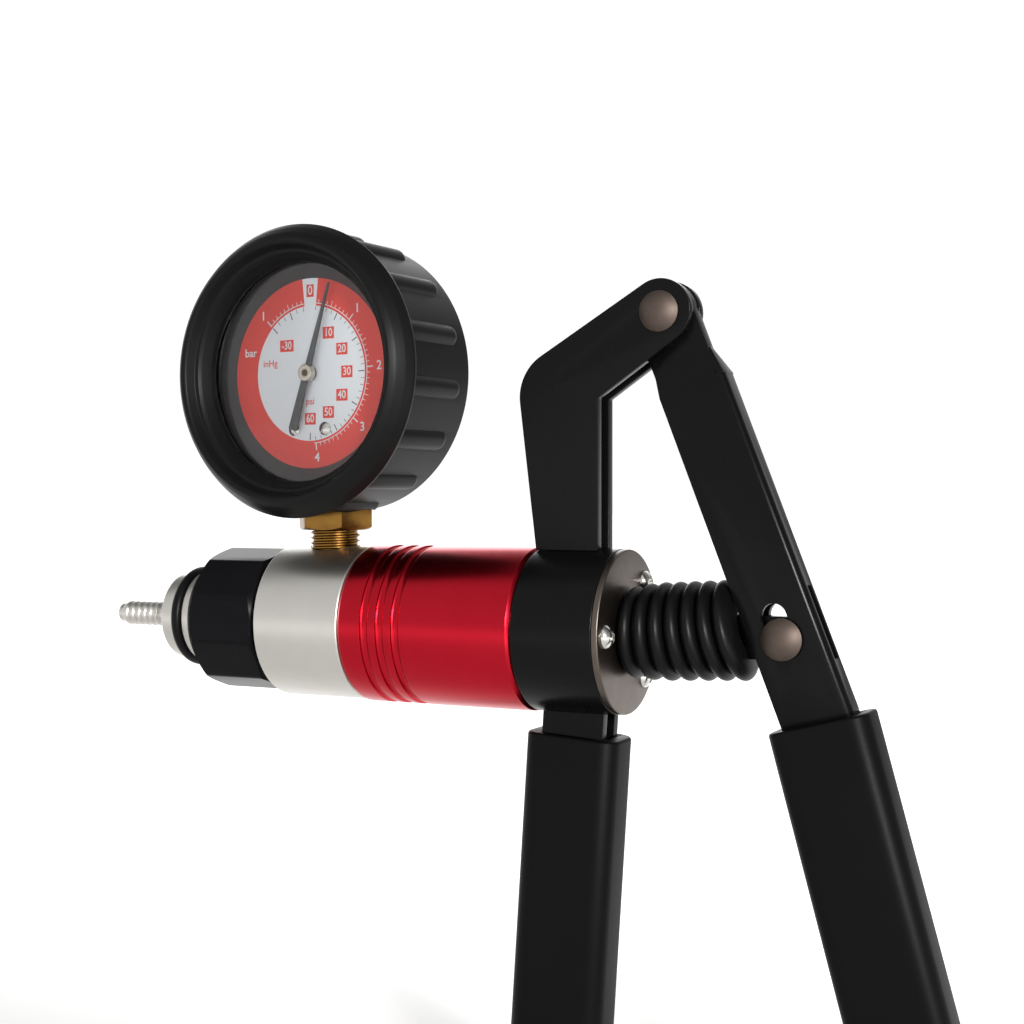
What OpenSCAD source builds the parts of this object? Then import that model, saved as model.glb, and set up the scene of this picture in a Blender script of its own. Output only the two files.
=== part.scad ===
// Hand vacuum and pressure pump with a booted dial gauge.
// Millimetres. X runs along the pump's axis from the hose barb's tip (origin) to the handles, Z is up.

/* [Nozzle plug] */
// Length of the hose barb from its tip to the flange
barb_len = 22.4; // [16:0.2:32]
// Radius of the plain land at the barb's tip
barb_tip_r = 2.5; // [2.2:0.1:3]
// Length of the plain land at the barb's tip
barb_tip_len = 3; // [2:0.5:6]
// Radius over the barb's ridges
barb_ridge_r = 3.4; // [3.1:0.1:4.5]
// Number of ridges on the barb
barb_ridges = 4; // [2:1:6]
// Radius of the air passage through the plug
air_r = 1.5; // [1:0.1:1.8]
// Radius of the plug's flange
plug_flange_r = 11.4; // [9:0.1:12]
// Thickness of the plug's flange
plug_flange_t = 4.4; // [3:0.1:7]
// Radius of the plug's land behind the O-ring
plug_land_r = 12.3; // [10.6:0.1:12.5]
// Length of the land that shows between O-ring and nut
plug_land_show = 4.5; // [1:0.1:6]
// Length of the land inside the nut
plug_land_in = 1.5; // [1:0.1:4]
// Outer radius of the plug's O-ring
o_ring_r = 13.3; // [12.7:0.1:13.5]
// Section of the plug's O-ring
o_ring_t = 3.2; // [2:0.1:4]
// How far the plug pushes in to change from vacuum to pressure
selector_travel = 6; // [4:0.2:7]
// Radius of the spool that slides in the head
spool_r = 8; // [6:0.1:9]

/* [Coupling nut] */
// Radius over the nut's corners
nut_r = 18.7; // [18:0.1:20]
// Number of flats on the nut
nut_flats = 10; // [8:1:12]
// Turn of the nut: how far above the front one of its edges stands
nut_edge = 20; // [0:1:45]
// Length of the nut's flats
nut_len = 21.8; // [16:0.1:30]
// Length of the round ring behind the flats
nut_ring_len = 1.8; // [1:0.1:4]
// Radius of the head's boss inside the nut
boss_r = 14; // [13.6:0.1:14.6]

/* [Head and barrel] */
// Radius of the valve head
head_r = 19.6; // [18.7:0.1:22]
// Length of the valve head
head_len = 24.9; // [24:0.1:34]
// Radius of the barrel
barrel_r = 20; // [19:0.1:24]
// Length of the barrel between head and collar
barrel_len = 47.4; // [44:0.2:70]
// Radius of the barrel's bore
bore_r = 14; // [12.5:0.1:14.6]
// Depth of the turned grooves round the barrel
groove_depth = 0.9; // [0.3:0.1:1.5]
// Width of each turned groove
groove_w = 2; // [1:0.1:3]
// Distance between the turned grooves
groove_pitch = 4.35; // [3.2:0.05:6]
// Distance from the barrel's front edge to its first groove
groove_start = 8; // [5:0.1:12]
// Number of turned grooves
grooves = 3; // [1:1:5]
// Radius of the spigots that join barrel, head and collar
front_spigot_r = 16.4; // [15.9:0.1:16.8]
// Radius of the barrel's rear spigot inside the collar
rear_spigot_r = 17.4; // [16.5:0.1:17.8]
// Thickness of the valve plate
valve_plate_t = 2.2; // [1.6:0.1:2.8]
// Radius of the rubber valve discs
valve_r = 4; // [3:0.1:4.5]
// Distance of each valve from the pump's axis
valve_off = 5.6; // [5:0.1:6]

/* [Collar, washer and screws] */
// Outer radius of the black collar
collar_r = 19.8; // [19.2:0.1:23]
// Length of the collar
collar_len = 20.8; // [19:0.1:30]
// Length of the collar's bore that takes the barrel's spigot
collar_socket = 11.6; // [8:0.1:12]
// Radius of the steel end washer
washer_r = 19.7; // [18.5:0.1:22]
// Thickness of the end washer
washer_t = 1.6; // [1:0.1:3]
// Radius of the circle that the washer's screws lie on
screw_circle_r = 15; // [13.5:0.1:16]
// Radius of the washer screws' shanks
screw_r = 1.5; // [1:0.1:2]
// Radius of the washer screws' heads
screw_head_r = 2.8; // [2.3:0.1:3.2]
// Length of the washer screws under the head
screw_len = 8; // [5:0.5:9]

/* [Rod and piston] */
// Radius of the piston rod
rod_r = 4; // [3.5:0.1:4.4]
// Thickness of the piston
piston_t = 12; // [10:0.2:14]
// Distance from the pump's end face to the pin that joins rod and handle
pin_dx = 38.6; // [36:0.2:42]
// Radius of the rod pin
pin_r = 2.6; // [2.2:0.05:2.7]
// Thickness of the rod's flat end between the handle's flanges
tongue_t = 3.8; // [3:0.1:4]
// Radius of the rod's guide bush
bush_r = 9; // [8.6:0.1:10]

/* [Bellows and spring] */
// Radius over the bellows' ridges
bellows_r = 11.5; // [10.5:0.1:12.5]
// Depth of the valleys between the ridges
bellows_depth = 2.5; // [1.5:0.1:3]
// Number of ridges
bellows_ridges = 7; // [5:1:8]
// Wall of the bellows
bellows_wall = 1.3; // [0.8:0.1:1.6]
// Wire diameter of the return spring
wire_d = 1.1; // [0.8:0.1:1.3]
// Mean radius of the return spring
spring_r = 5.5; // [5.2:0.1:5.6]
// Turns of the return spring
spring_turns = 7; // [5:1:7]

/* [Handles] */
// Distance from the pump's end face forward to the handle pivot
pivot_dx = 9.2; // [6:0.2:12]
// Height of the handle pivot above the pump's axis
pivot_z = 75.4; // [72:0.2:85]
// Angle that the handle swings when squeezed
squeeze = 15; // [12:0.5:16]
// Thickness of the fixed frame's sheet
frame_sheet = 2.5; // [1.5:0.1:2.5]
// Width across the fixed frame's two plates
frame_w = 9.5; // [9.3:0.1:12]
// Half height of the fixed arm round the pivot
arm_end_r = 7.7; // [7:0.1:9]
// Rise of the fixed arm's slope
arm_slope = 31; // [27:0.5:35]
// Radius of the arm's outer corner
arm_corner_r = 11.5; // [6:0.5:14]
// Width of the fixed arm at its foot on the collar
arm_foot_w = 16; // [14:0.2:17]
// Distance from the pump's end face back to the arm's front edge
arm_set_back = 6.2; // [4:0.2:8]
// How far the arm's back edge leans forward on its way up
arm_lean = 4.6; // [0:0.2:8]
// Drop from the handle pivot to the arm's inner corner
arm_drop = 19.8; // [18:0.2:24]
// Width of the tang in the fixed grip
tang_w = 15.7; // [12:0.1:18]
// Distance from the pump's end face back to the tang's front edge
tang_set_back = 5; // [3:0.2:6]
// Thickness of the moving handle's sheet
handle_sheet = 2; // [1.5:0.1:2]
// Width across the moving handle's flanges
handle_w = 8.5; // [8.3:0.1:9.5]
// Distance from the handle's centre line to the edges of its flanges
blade_front = 7.4; // [6.5:0.1:8]
// Distance from the handle's centre line to the back of its web
blade_back = 9.2; // [8.8:0.1:11]
// Distance from the pivot to the moving grip's top
grip_from_pivot = 101; // [98:0.5:110]
// Angle of the moving grip to the vertical
moving_grip_lean = 15.2; // [14:0.1:21]
// Angle of the fixed grip to the vertical
fixed_grip_lean = 3.7; // [0:0.1:6]
// Drop from the pump's axis to the fixed grip's top
fixed_grip_drop = 25; // [23:0.5:30]
// Length of the moving grip
moving_grip_len = 108; // [90:1:125]
// Length of the fixed grip
fixed_grip_len = 97.2; // [80:0.2:115]
// Width of the grips
grip_w = 23.8; // [22.4:0.2:28]
// Depth of the grips across the handle
grip_d = 15; // [14:0.2:18]
// Radius of the grips' rounded corners
grip_corner = 4.5; // [2:0.5:6]
// Radius of the pivot rivet
rivet_r = 3; // [2.5:0.05:3.4]
// Radius of the rivet and pin heads
rivet_head_r = 4.8; // [4.2:0.1:5.5]
// Height of the rivet and pin heads
rivet_head_h = 2.2; // [1.5:0.1:3]

/* [Gauge] */
// Length of stem thread that shows above the head
thread_show = 4.1; // [3:0.1:9]
// Height of the stem's flats
stem_flats_h = 10.8; // [9:0.1:14]
// Turn of the gauge about its stem
gauge_turn = -5; // [-20:1:20]
// Radius of the stem's thread
thread_r = 6.4; // [5.4:0.1:6.6]
// Width across the stem's flats
stem_flats = 17.4; // [15:0.1:18]
// Turn of the stem's flats against the dial
stem_flats_turn = 9; // [0:1:30]
// Radius of the gauge's steel case
case_r = 29.2; // [27:0.1:31]
// Wall of the gauge's steel case
case_wall = 0.8; // [0.5:0.1:1]
// Wall of the boot round the case, between its bars
boot_wall = 5.8; // [4:0.1:8]
// How far the boot's front rim stands out from its side
boot_rim = 1.6; // [0.6:0.1:4]
// How far the boot's lip reaches in over the case's edge
boot_lip = 1.7; // [1:0.1:2.4]
// Thickness of the boot's rim in front of the case
boot_front_t = 8.2; // [6:0.1:12]
// Distance of the boot's back from the stem
boot_back = 9; // [8:0.1:11]
// Number of raised bars round the boot
boot_bars = 16; // [8:1:20]
// Angle of the first bar above the dial's right side
boot_bar_turn = 15; // [0:0.5:22]
// Radius of each raised bar
boot_bar_r = 3.1; // [2.6:0.1:4]
// How far each bar stands out of the boot's side
boot_bar_rise = 1.5; // [0.5:0.1:2.4]
// Distance of the dial's face from the stem
dial_front = 10.5; // [10:0.1:12]
// Distance from the dial's face to the window
window_gap = 2.7; // [2.6:0.1:6]
// Width of the grey ring round the dial
dial_ring_w = 4.1; // [3:0.1:5]
// Thickness of the window
window_t = 1.8; // [1:0.1:2.4]
// Gap between the pointer's tip and the ring round the dial
pointer_short = 1.4; // [0.6:0.1:5]
// Length of the pointer's tail
pointer_tail = 15; // [8:0.2:18]
// Turn of the pointer from zero as it stands
pointer_turn = 17.3; // [-45:0.1:90]

/* [Hidden] */

fine = 96;
small = 32;

// Clearances: seated pieces, running fits, pieces that pass without touching
seat_gap = 0.05;
run_gap = 0.05;
clear_gap = 0.4;
stop_gap = 0.2;

// Stations along the axis, from the barb's tip
o_ring_x = barb_len + plug_flange_t;
land_x = o_ring_x + o_ring_t;
nut_x = land_x + plug_land_show;
land_end = nut_x + plug_land_in;
boss_x = land_end + selector_travel + stop_gap;
nut_ring_x = nut_x + nut_len;
head_x = nut_ring_x + nut_ring_len;
barrel_x = head_x + head_len;
collar_x = barrel_x + barrel_len;
washer_x = collar_x + collar_len;
end_x = washer_x + washer_t;
gauge_x = head_x + head_len / 2;

// Barb ridges between the plain tip and the flange
barb_root_r = barb_tip_r + 0.1;
barb_neck = 1.5;
ridge_pitch = (barb_len - barb_tip_len - barb_neck) / barb_ridges;
plug_chamfer = 0.8;
nut_bore_r = o_ring_r + clear_gap;

// Cavity in the head behind the spool, and the stack of valve plate, seal and barrel
spool_clip_t = 1.2;
spool_clip_r = spool_r + 1.6;
cavity_r = spool_clip_r + 0.9;
port_wall = 1;
seal_t = 0.8;
plate_x = gauge_x + thread_r + port_wall;
front_spigot_len = barrel_x - plate_x - seal_t - valve_plate_t;
valve_reach = 2.3;
cavity_len = selector_travel + spool_clip_t + stop_gap + clear_gap + valve_reach;
cavity_x = plate_x - cavity_len;
spool_end = cavity_x + stop_gap + spool_clip_t;
spool_groove = 0.8;
recess_r = front_spigot_r + seat_gap;
valve_stem_r = 1.2;
valve_dome = 1;
port_r = 0.9;
port_off = 2.5;

// Gauge placing and port
flats_z = head_r + thread_show;
dial_rise = case_r + stem_flats_h;
gauge_z = flats_z + dial_rise;
thread_in = 7.5;
port_bottom = head_r - thread_in - clear_gap;
port_passage_r = 3;

// Collar, bush and seal
collar_wall_x = collar_x + collar_socket;
rear_spigot_end = collar_wall_x - stop_gap;
lip_t = 0.9;
lip_x = washer_x - lip_t - seat_gap;
bush_end = lip_x - seat_gap;
bush_flange_t = 4;
bush_x = rear_spigot_end - bush_flange_t;
seal_depth = 4;
seal_r = 7;
bellows_neck_r = bush_r - 1.1;
washer_hole_r = bellows_neck_r + seat_gap;
screw_hole_r = screw_r + seat_gap;
screw_head_h = 2.2;
screw_angles = [0, 130, 230];

// Handle geometry: the line from pivot to pin sets the handle's angle
pivot_x = end_x + pivot_dx;
pin_x = end_x + pin_dx;
handle_angle = atan((pin_x - pivot_x) / pivot_z);
pin_reach = pivot_z / cos(handle_angle);
closed_reach = pivot_z / cos(handle_angle - squeeze);
pin_travel = pivot_z * (tan(handle_angle) - tan(handle_angle - squeeze));
slot_r = pin_r + 0.45;
slot_top = closed_reach - 0.35;
handle_gap = handle_w - 2 * handle_sheet;
frame_gap = frame_w - 2 * frame_sheet;
pinch_t = frame_gap - 2 * 0.25;
pinch_len = 14;
joggle_len = 5;
blade_flat = blade_back - handle_sheet;
pinch_r = blade_front;
web_slot_w = 3.4;
web_slot_from = pin_reach - 9.5;
web_slot_to = pin_reach + 8;
bend_r = 1.9;
blade_mid = (blade_back - blade_front) / 2;
grip_floor = 6;
grip_gap = 0.1;
tang_end_gap = 0.5;

// Rod, piston and the parts that ride on them
edge_at_axis = pin_x - blade_front / cos(handle_angle);
seat_t = 1.5;
seat_r = spring_r + wire_d / 2 + 0.2;
seat_end = edge_at_axis - seat_r * tan(handle_angle) - 1;
seat_x = seat_end - seat_t;
tongue_h = 10;
piston_front = plate_x + valve_plate_t + valve_dome + 2.5 + pin_travel;
piston_r = bore_r - 0.3;
cup_t = 5;
cup_x = piston_front + 3.5;
cup_root_r = bore_r - 3;
nut_recess = 5.4;
piston_nut_r = 5.4;
piston_nut_t = 4.4;
rod_thread_r = rod_r - 1;
rod_front = piston_front + 0.6;
rod_shoulder = piston_front + nut_recess + 3;

// Fixed arm outline in the XZ plane
arm_front = end_x - arm_set_back;
arm_back_foot = arm_front - arm_foot_w;
arm_back_top = arm_back_foot - arm_lean;
arm_inner_z = pivot_z - arm_drop;
arm_top_dir = [cos(arm_slope), sin(arm_slope)];
arm_top_normal = [-sin(arm_slope), cos(arm_slope)];
pivot_xz = [pivot_x, pivot_z];
arm_foot_z = collar_r - 2;
arm_web_clear = pinch_r + 0.7;
past_edge = 20;
tang_front = end_x - tang_set_back;
tang_back = tang_front - tang_w;
weld_gap = 0.05;

// Gauge depths, measured from the stem towards the viewer
window_z = dial_front + window_gap;
case_front = window_z + window_t;
case_back = boot_back - 3.4;
dial_t = 0.6;
ring_r = case_r - case_wall - 0.1;
dial_r = ring_r - dial_ring_w;
pointer_len = dial_r - pointer_short;
boot_side_r = case_r + boot_wall;
boot_r = boot_side_r + boot_rim;
boot_lip_r = case_r - boot_lip;
boot_front = case_front + boot_front_t;
boot_tube = (boot_r - boot_lip_r) / 2;
boot_in_r = case_r + 0.1;
boot_back_hole = case_r - 9.2;
hub_r = 2;
pointer_z = dial_front + 1.2;
pointer_t = 0.6;
hub_h = 1.8;
hub_under = 0.6;
arbor_r = 0.8;
block_half = 3.2;
block_w = 12;
neck_r = 4.6;
tube_r = 17;
tube_t = 2.6;
tube_d = 6;
tube_from = -70;
tube_sweep = 235;
tube_tip = tube_r * [cos(tube_from + tube_sweep), sin(tube_from + tube_sweep)];
block_top = -tube_r + 1.4;

// Gauge movement: module, teeth and centre distance of sector and pinion
gear_module = 0.4;
pinion_teeth = 12;
sector_teeth = 48;
gear_centre = gear_module * (pinion_teeth + sector_teeth) / 2;
gear_t = 1.2;
tooth_tip = 0.3;
tooth_root = 0.45;
tooth_w = 0.42;
back_plate_z = block_half;
plate_t = 1;
front_plate_z = dial_front - dial_t - 1 - plate_t;
plate_left = -gear_centre - 2.6;
plate_right = 6.4;
plate_low = block_top - 4.4;
plate_high = 10;
pillar_r = 1.2;
pillar_in = 1.6;
tail_len = -tube_tip[0] - gear_centre;
link_len = tube_tip[1];
link_t = 0.8;
link_gap = 0.2;
gear_z = (back_plate_z + plate_t + front_plate_z - gear_t - link_gap - link_t) / 2;
link_z = gear_z + gear_t + link_gap;
dial_screw_at = [4.9, -14.2];
dial_screw_r = 0.8;
dial_screw_head_r = 1.7;

// Shared shapes

// A turned profile of [x, radius] points about the pump's axis
module turned(profile) {
    rotate([0, 90, 0])
        rotate_extrude($fn = fine)
            polygon([for (p = profile) [p[1], p[0]]]);
}

// A round bar along X
module bar_x(x, len, r, sides = fine) {
    translate([x, 0, 0])
        rotate([0, 90, 0])
            cylinder(h = len, r = r, $fn = sides);
}

// A round bar along Y, centred on the pump's middle plane
module bar_y(x, z, len, r) {
    translate([x, 0, z])
        rotate([90, 0, 0])
            cylinder(h = len, r = r, center = true, $fn = fine);
}

// An outline in the XZ plane given a width along Y
module plate_xz(width) {
    rotate([90, 0, 0])
        linear_extrude(height = width, center = true)
            children();
}

// A ring of round section about X
module o_ring(x, outer_r, section) {
    translate([x, 0, 0])
        rotate([0, 90, 0])
            rotate_extrude($fn = fine)
                translate([outer_r - section / 2, 0])
                    circle(r = section / 2, $fn = small);
}

module rounded_rect(w, d, r) {
    square([w - 2 * r, d], center = true);
    square([w, d - 2 * r], center = true);
    for (sx = [-1, 1], sy = [-1, 1])
        translate([sx * (w / 2 - r), sy * (d / 2 - r)])
            circle(r = r, $fn = fine);
}

// A domed head standing on the plane z = 0
module domed_head(r, h) {
    sphere_r = (r * r + h * h) / (2 * h);
    intersection() {
        translate([0, 0, h - sphere_r])
            sphere(r = sphere_r, $fn = fine);
        cylinder(h = h, r = r, $fn = fine);
    }
}

// Heads on both ends of a cross pin
module pin_heads(x, z, width, r, h) {
    for (side = [-1, 1])
        translate([x, side * width / 2, z])
            rotate([-90 * side, 0, 0])
                domed_head(r, h);
}

// The gauge's own frame: x right, y up, z towards the viewer, origin over the stem at the dial's centre
module in_gauge() {
    translate([gauge_x, 0, gauge_z])
        rotate([0, 0, gauge_turn])
            rotate([90, 0, 0])
                children();
}

// A turned profile of [z, radius] points about the gauge's axis
module gauge_turned(profile) {
    rotate_extrude($fn = fine)
        polygon([for (p = profile) [p[1], p[0]]]);
}

// The handle's own frame: origin at the pivot, z up along the handle, x towards its web
module on_handle() {
    translate([pivot_x, 0, pivot_z])
        rotate([0, -handle_angle, 0])
            children();
}

// The moving grip's frame: origin at the middle of the blade where the grip starts
module on_moving_grip() {
    on_handle()
        translate([blade_mid, 0, -grip_from_pivot])
            rotate([0, handle_angle - moving_grip_lean, 0])
                children();
}

// The fixed grip's frame: origin at the middle of the tang where the grip starts
module on_fixed_grip() {
    translate([(tang_front + tang_back) / 2, 0, -fixed_grip_drop])
        rotate([0, fixed_grip_lean, 0])
            children();
}

// Section of the moving handle, open on its front side; slim takes that much off each face of the sheet
module channel_section(slim = 0) {
    front = blade_front - slim;
    back = blade_back - slim;
    width = handle_w - 2 * slim;
    gap = handle_gap + 2 * slim;
    difference() {
        union() {
            translate([-front, -width / 2])
                square([front + back - bend_r, width]);
            translate([-front, -width / 2 + bend_r])
                square([front + back, width - 2 * bend_r]);
            for (side = [-1, 1])
                translate([back - bend_r, side * (width / 2 - bend_r)])
                    circle(r = bend_r, $fn = small);
        }
        translate([-front - 1, -gap / 2])
            square([front + 1 + blade_flat + slim, gap]);
    }
}

// Nozzle plug, which slides to change between vacuum and pressure

module barb_ridge(x) {
    turned([
        [x, 0],
        [x, barb_root_r],
        [x + ridge_pitch * 0.75, barb_ridge_r],
        [x + ridge_pitch, barb_ridge_r],
        [x + ridge_pitch, 0]
    ]);
}

module nozzle_plug() {
    groove_r = o_ring_r - o_ring_t + 0.1;
    color("silver")
        difference() {
            union() {
                bar_x(0, barb_tip_len + 1, barb_tip_r);
                bar_x(barb_tip_len, barb_len - barb_tip_len + 1, barb_root_r);
                for (i = [0 : barb_ridges - 1])
                    barb_ridge(barb_tip_len + i * ridge_pitch);
                turned([
                    [barb_len, 0],
                    [barb_len, plug_flange_r - plug_chamfer],
                    [barb_len + plug_chamfer, plug_flange_r],
                    [o_ring_x, plug_flange_r],
                    [o_ring_x, groove_r],
                    [land_x, groove_r],
                    [land_x, plug_land_r],
                    [land_end, plug_land_r],
                    [land_end, spool_r],
                    [spool_end - spool_clip_t, spool_r],
                    [spool_end - spool_clip_t, spool_r - spool_groove],
                    [spool_end, spool_r - spool_groove],
                    [spool_end, spool_r],
                    [spool_end + stop_gap, spool_r],
                    [spool_end + stop_gap, 0]
                ]);
            }
            bar_x(-1, spool_end + stop_gap + 2, air_r);
        }
}

module plug_o_ring() {
    color("#151515")
        o_ring(o_ring_x + o_ring_t / 2, o_ring_r, o_ring_t - 2 * seat_gap);
}

module spool_clip() {
    color("dimgray")
        difference() {
            bar_x(spool_end - spool_clip_t + seat_gap, spool_clip_t - 2 * seat_gap, spool_clip_r);
            bar_x(spool_end - spool_clip_t, spool_clip_t, spool_r - spool_groove + seat_gap);
        }
}

// Coupling nut, head and valves

module coupling_nut() {
    front_chamfer = 3.4;
    back_chamfer = 1.4;
    past_corner = 0.5;
    ring_r = nut_r - back_chamfer - 0.8;
    color("#1c1c1e")
        difference() {
            union() {
                intersection() {
                    translate([nut_x, 0, 0])
                        rotate([0, 90, 0])
                            rotate([0, 0, 270 - nut_edge])
                                cylinder(h = nut_len, r = nut_r, $fn = nut_flats);
                    turned([
                        [nut_x, 0],
                        [nut_x, nut_r - front_chamfer],
                        [nut_x + front_chamfer + past_corner, nut_r + past_corner],
                        [nut_ring_x - back_chamfer - past_corner, nut_r + past_corner],
                        [nut_ring_x, nut_r - back_chamfer],
                        [nut_ring_x, 0]
                    ]);
                }
                bar_x(nut_ring_x - back_chamfer, nut_ring_len + back_chamfer - seat_gap, ring_r);
            }
            bar_x(nut_x - 1, nut_len + nut_ring_len + 2, nut_bore_r);
            bar_x(boss_x - clear_gap, head_x - boss_x + 1, boss_r + seat_gap);
        }
}

module valve_head() {
    edge = 0.6;
    color("#c9c6c0")
        difference() {
            union() {
                bar_x(boss_x, head_x - boss_x + 1, boss_r);
                turned([
                    [head_x, 0],
                    [head_x, head_r - edge],
                    [head_x + edge, head_r],
                    [barrel_x - edge, head_r],
                    [barrel_x, head_r - edge],
                    [barrel_x, 0]
                ]);
            }
            bar_x(boss_x - 1, cavity_x - boss_x + 2, spool_r + run_gap);
            bar_x(cavity_x, cavity_len + 1, cavity_r);
            bar_x(plate_x, barrel_x - plate_x + 1, recess_r);
            translate([gauge_x, 0, port_bottom])
                cylinder(h = head_r, r = thread_r + seat_gap, $fn = fine);
            translate([gauge_x, 0, 0])
                cylinder(h = head_r, r = port_passage_r, $fn = fine);
        }
}

module valve_plate() {
    color("gainsboro")
        difference() {
            bar_x(plate_x + seat_gap, valve_plate_t - 2 * seat_gap, front_spigot_r);
            for (side = [-1, 1])
                translate([plate_x - 1, 0, side * valve_off])
                    rotate([0, 90, 0]) {
                        cylinder(h = valve_plate_t + 2, r = valve_stem_r + seat_gap, $fn = fine);
                        for (a = [90, 210, 330])
                            rotate([0, 0, a])
                                translate([port_off, 0, 0])
                                    cylinder(h = valve_plate_t + 2, r = port_r, $fn = small);
                    }
        }
}

// A rubber umbrella valve: domed disc on one side of the plate, stem and bulb on the other
module umbrella_valve() {
    domed_head(valve_r, valve_dome);
    translate([0, 0, -valve_plate_t])
        cylinder(h = valve_plate_t + 0.2, r = valve_stem_r, $fn = fine);
    translate([0, 0, -valve_plate_t - valve_stem_r * 0.6])
        sphere(r = valve_stem_r * 1.2, $fn = small);
}

module inlet_valve() {
    color("#a33")
        translate([plate_x + valve_plate_t, 0, valve_off])
            rotate([0, 90, 0])
                umbrella_valve();
}

module outlet_valve() {
    color("#a33")
        translate([plate_x, 0, -valve_off])
            rotate([0, -90, 0])
                umbrella_valve();
}

module head_seal() {
    color("#222")
        difference() {
            bar_x(plate_x + valve_plate_t, seal_t - seat_gap, front_spigot_r);
            bar_x(plate_x, valve_plate_t + seal_t + 1, bore_r + 0.2);
        }
}

// Barrel and collar

module barrel() {
    edge = 0.8;
    spigot_x = barrel_x - front_spigot_len;
    color("#a81b28")
        difference() {
            union() {
                bar_x(spigot_x, front_spigot_len + 1, front_spigot_r);
                turned([
                    [barrel_x + seat_gap, 0],
                    [barrel_x + seat_gap, barrel_r - edge],
                    [barrel_x + edge, barrel_r],
                    [collar_x - edge, barrel_r],
                    [collar_x - seat_gap, barrel_r - edge],
                    [collar_x - seat_gap, 0]
                ]);
                bar_x(collar_x - 1, rear_spigot_end - collar_x + 1, rear_spigot_r);
            }
            bar_x(spigot_x - 1, rear_spigot_end - spigot_x + 2, bore_r);
            for (i = [0 : grooves - 1])
                translate([barrel_x + groove_start + i * groove_pitch, 0, 0])
                    rotate([0, 90, 0])
                        rotate_extrude($fn = fine)
                            translate([barrel_r - groove_depth, -groove_w / 2])
                                square([groove_depth + 1, groove_w]);
        }
}

module mount_collar() {
    color("#1a1a1a")
        difference() {
            bar_x(collar_x, collar_len, collar_r);
            bar_x(collar_x - 1, collar_socket + 1, rear_spigot_r + seat_gap);
            bar_x(collar_x, collar_len + 1, bush_r + seat_gap);
            for (a = screw_angles)
                screw_place(a)
                    translate([0, 0, -screw_len + washer_t - clear_gap])
                        cylinder(h = screw_len + 1, r = screw_hole_r, $fn = small);
        }
}

// Frame of one washer screw: z outwards, origin under the head
module screw_place(a) {
    translate([end_x, 0, 0])
        rotate([0, 90, 0])
            rotate([0, 0, a - 90])
                translate([screw_circle_r, 0, 0])
                    children();
}

module end_washer() {
    color("#6b625b")
        difference() {
            bar_x(washer_x, washer_t, washer_r);
            bar_x(washer_x - 1, washer_t + 2, washer_hole_r);
            for (a = screw_angles)
                screw_place(a)
                    translate([0, 0, -washer_t - 1])
                        cylinder(h = washer_t + 2, r = screw_hole_r + seat_gap, $fn = small);
        }
}

module washer_screws() {
    color("#d8d8d8")
        for (a = screw_angles)
            screw_place(a) {
                translate([0, 0, -screw_len + washer_t])
                    cylinder(h = screw_len - washer_t, r = screw_r, $fn = small);
                difference() {
                    domed_head(screw_head_r, screw_head_h);
                    for (turn = [0, 90])
                        rotate([0, 0, turn])
                            translate([0, 0, screw_head_h])
                                cube([screw_head_r, 0.7, 2.2], center = true);
                }
            }
}

module rod_bush() {
    color("#b08d57")
        difference() {
            union() {
                bar_x(bush_x, bush_flange_t - seat_gap, bore_r - seat_gap);
                bar_x(bush_x, bush_end - bush_x, bush_r);
            }
            bar_x(bush_x - 1, bush_end - bush_x + 2, rod_r + run_gap);
            bar_x(bush_x - 1, seal_depth + 1, seal_r + seat_gap);
        }
}

module rod_seal() {
    color("#222")
        difference() {
            bar_x(bush_x, seal_depth - seat_gap, seal_r);
            bar_x(bush_x - 1, seal_depth + 2, rod_r + run_gap);
        }
}

// Piston, rod and return spring

module piston() {
    color("#d9d4c4")
        difference() {
            bar_x(piston_front, piston_t, piston_r);
            difference() {
                bar_x(cup_x, cup_t, piston_r + 1);
                bar_x(cup_x - 1, cup_t + 2, cup_root_r);
            }
            bar_x(piston_front - 1, nut_recess + 1, piston_nut_r + clear_gap);
            bar_x(piston_front, piston_t, rod_thread_r + seat_gap);
            bar_x(rod_shoulder, piston_t, rod_r + seat_gap);
        }
}

module piston_cup() {
    color("#222")
        difference() {
            bar_x(cup_x + seat_gap, cup_t - 2 * seat_gap, bore_r - run_gap);
            bar_x(cup_x, cup_t, cup_root_r + seat_gap);
        }
}

module piston_nut() {
    color("silver")
        difference() {
            bar_x(piston_front + nut_recess - piston_nut_t - seat_gap, piston_nut_t, piston_nut_r, 6);
            bar_x(piston_front, nut_recess + 1, rod_thread_r + seat_gap);
        }
}

module piston_rod() {
    color("#c4c4c4")
        difference() {
            union() {
                bar_x(rod_front, rod_shoulder - rod_front + 1, rod_thread_r);
                bar_x(rod_shoulder, seat_end - rod_shoulder + 0.5, rod_r);
                translate([seat_end + seat_gap, -tongue_t / 2, -tongue_h / 2])
                    cube([pin_x - seat_end - seat_gap, tongue_t, tongue_h]);
                bar_y(pin_x, 0, tongue_t, tongue_h / 2);
            }
            bar_y(pin_x, 0, tongue_t + 2, pin_r + seat_gap);
        }
}

module spring_seat() {
    color("silver")
        difference() {
            bar_x(seat_x, seat_t, seat_r);
            bar_x(seat_x - 1, seat_t + 2, rod_r + seat_gap);
        }
}

module rod_pin() {
    color("#6f6460") {
        bar_y(pin_x, 0, handle_w + 2 * clear_gap + 1, pin_r);
        pin_heads(pin_x, 0, handle_w + 2 * clear_gap, rivet_head_r, rivet_head_h);
    }
}

// Points round one ring of a tube: the ring's middle and two directions across it
function ring_points(mid, u, v, r, sides) =
    [for (k = [0 : sides - 1]) mid + r * (cos(360 * k / sides) * u + sin(360 * k / sides) * v)];

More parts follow.
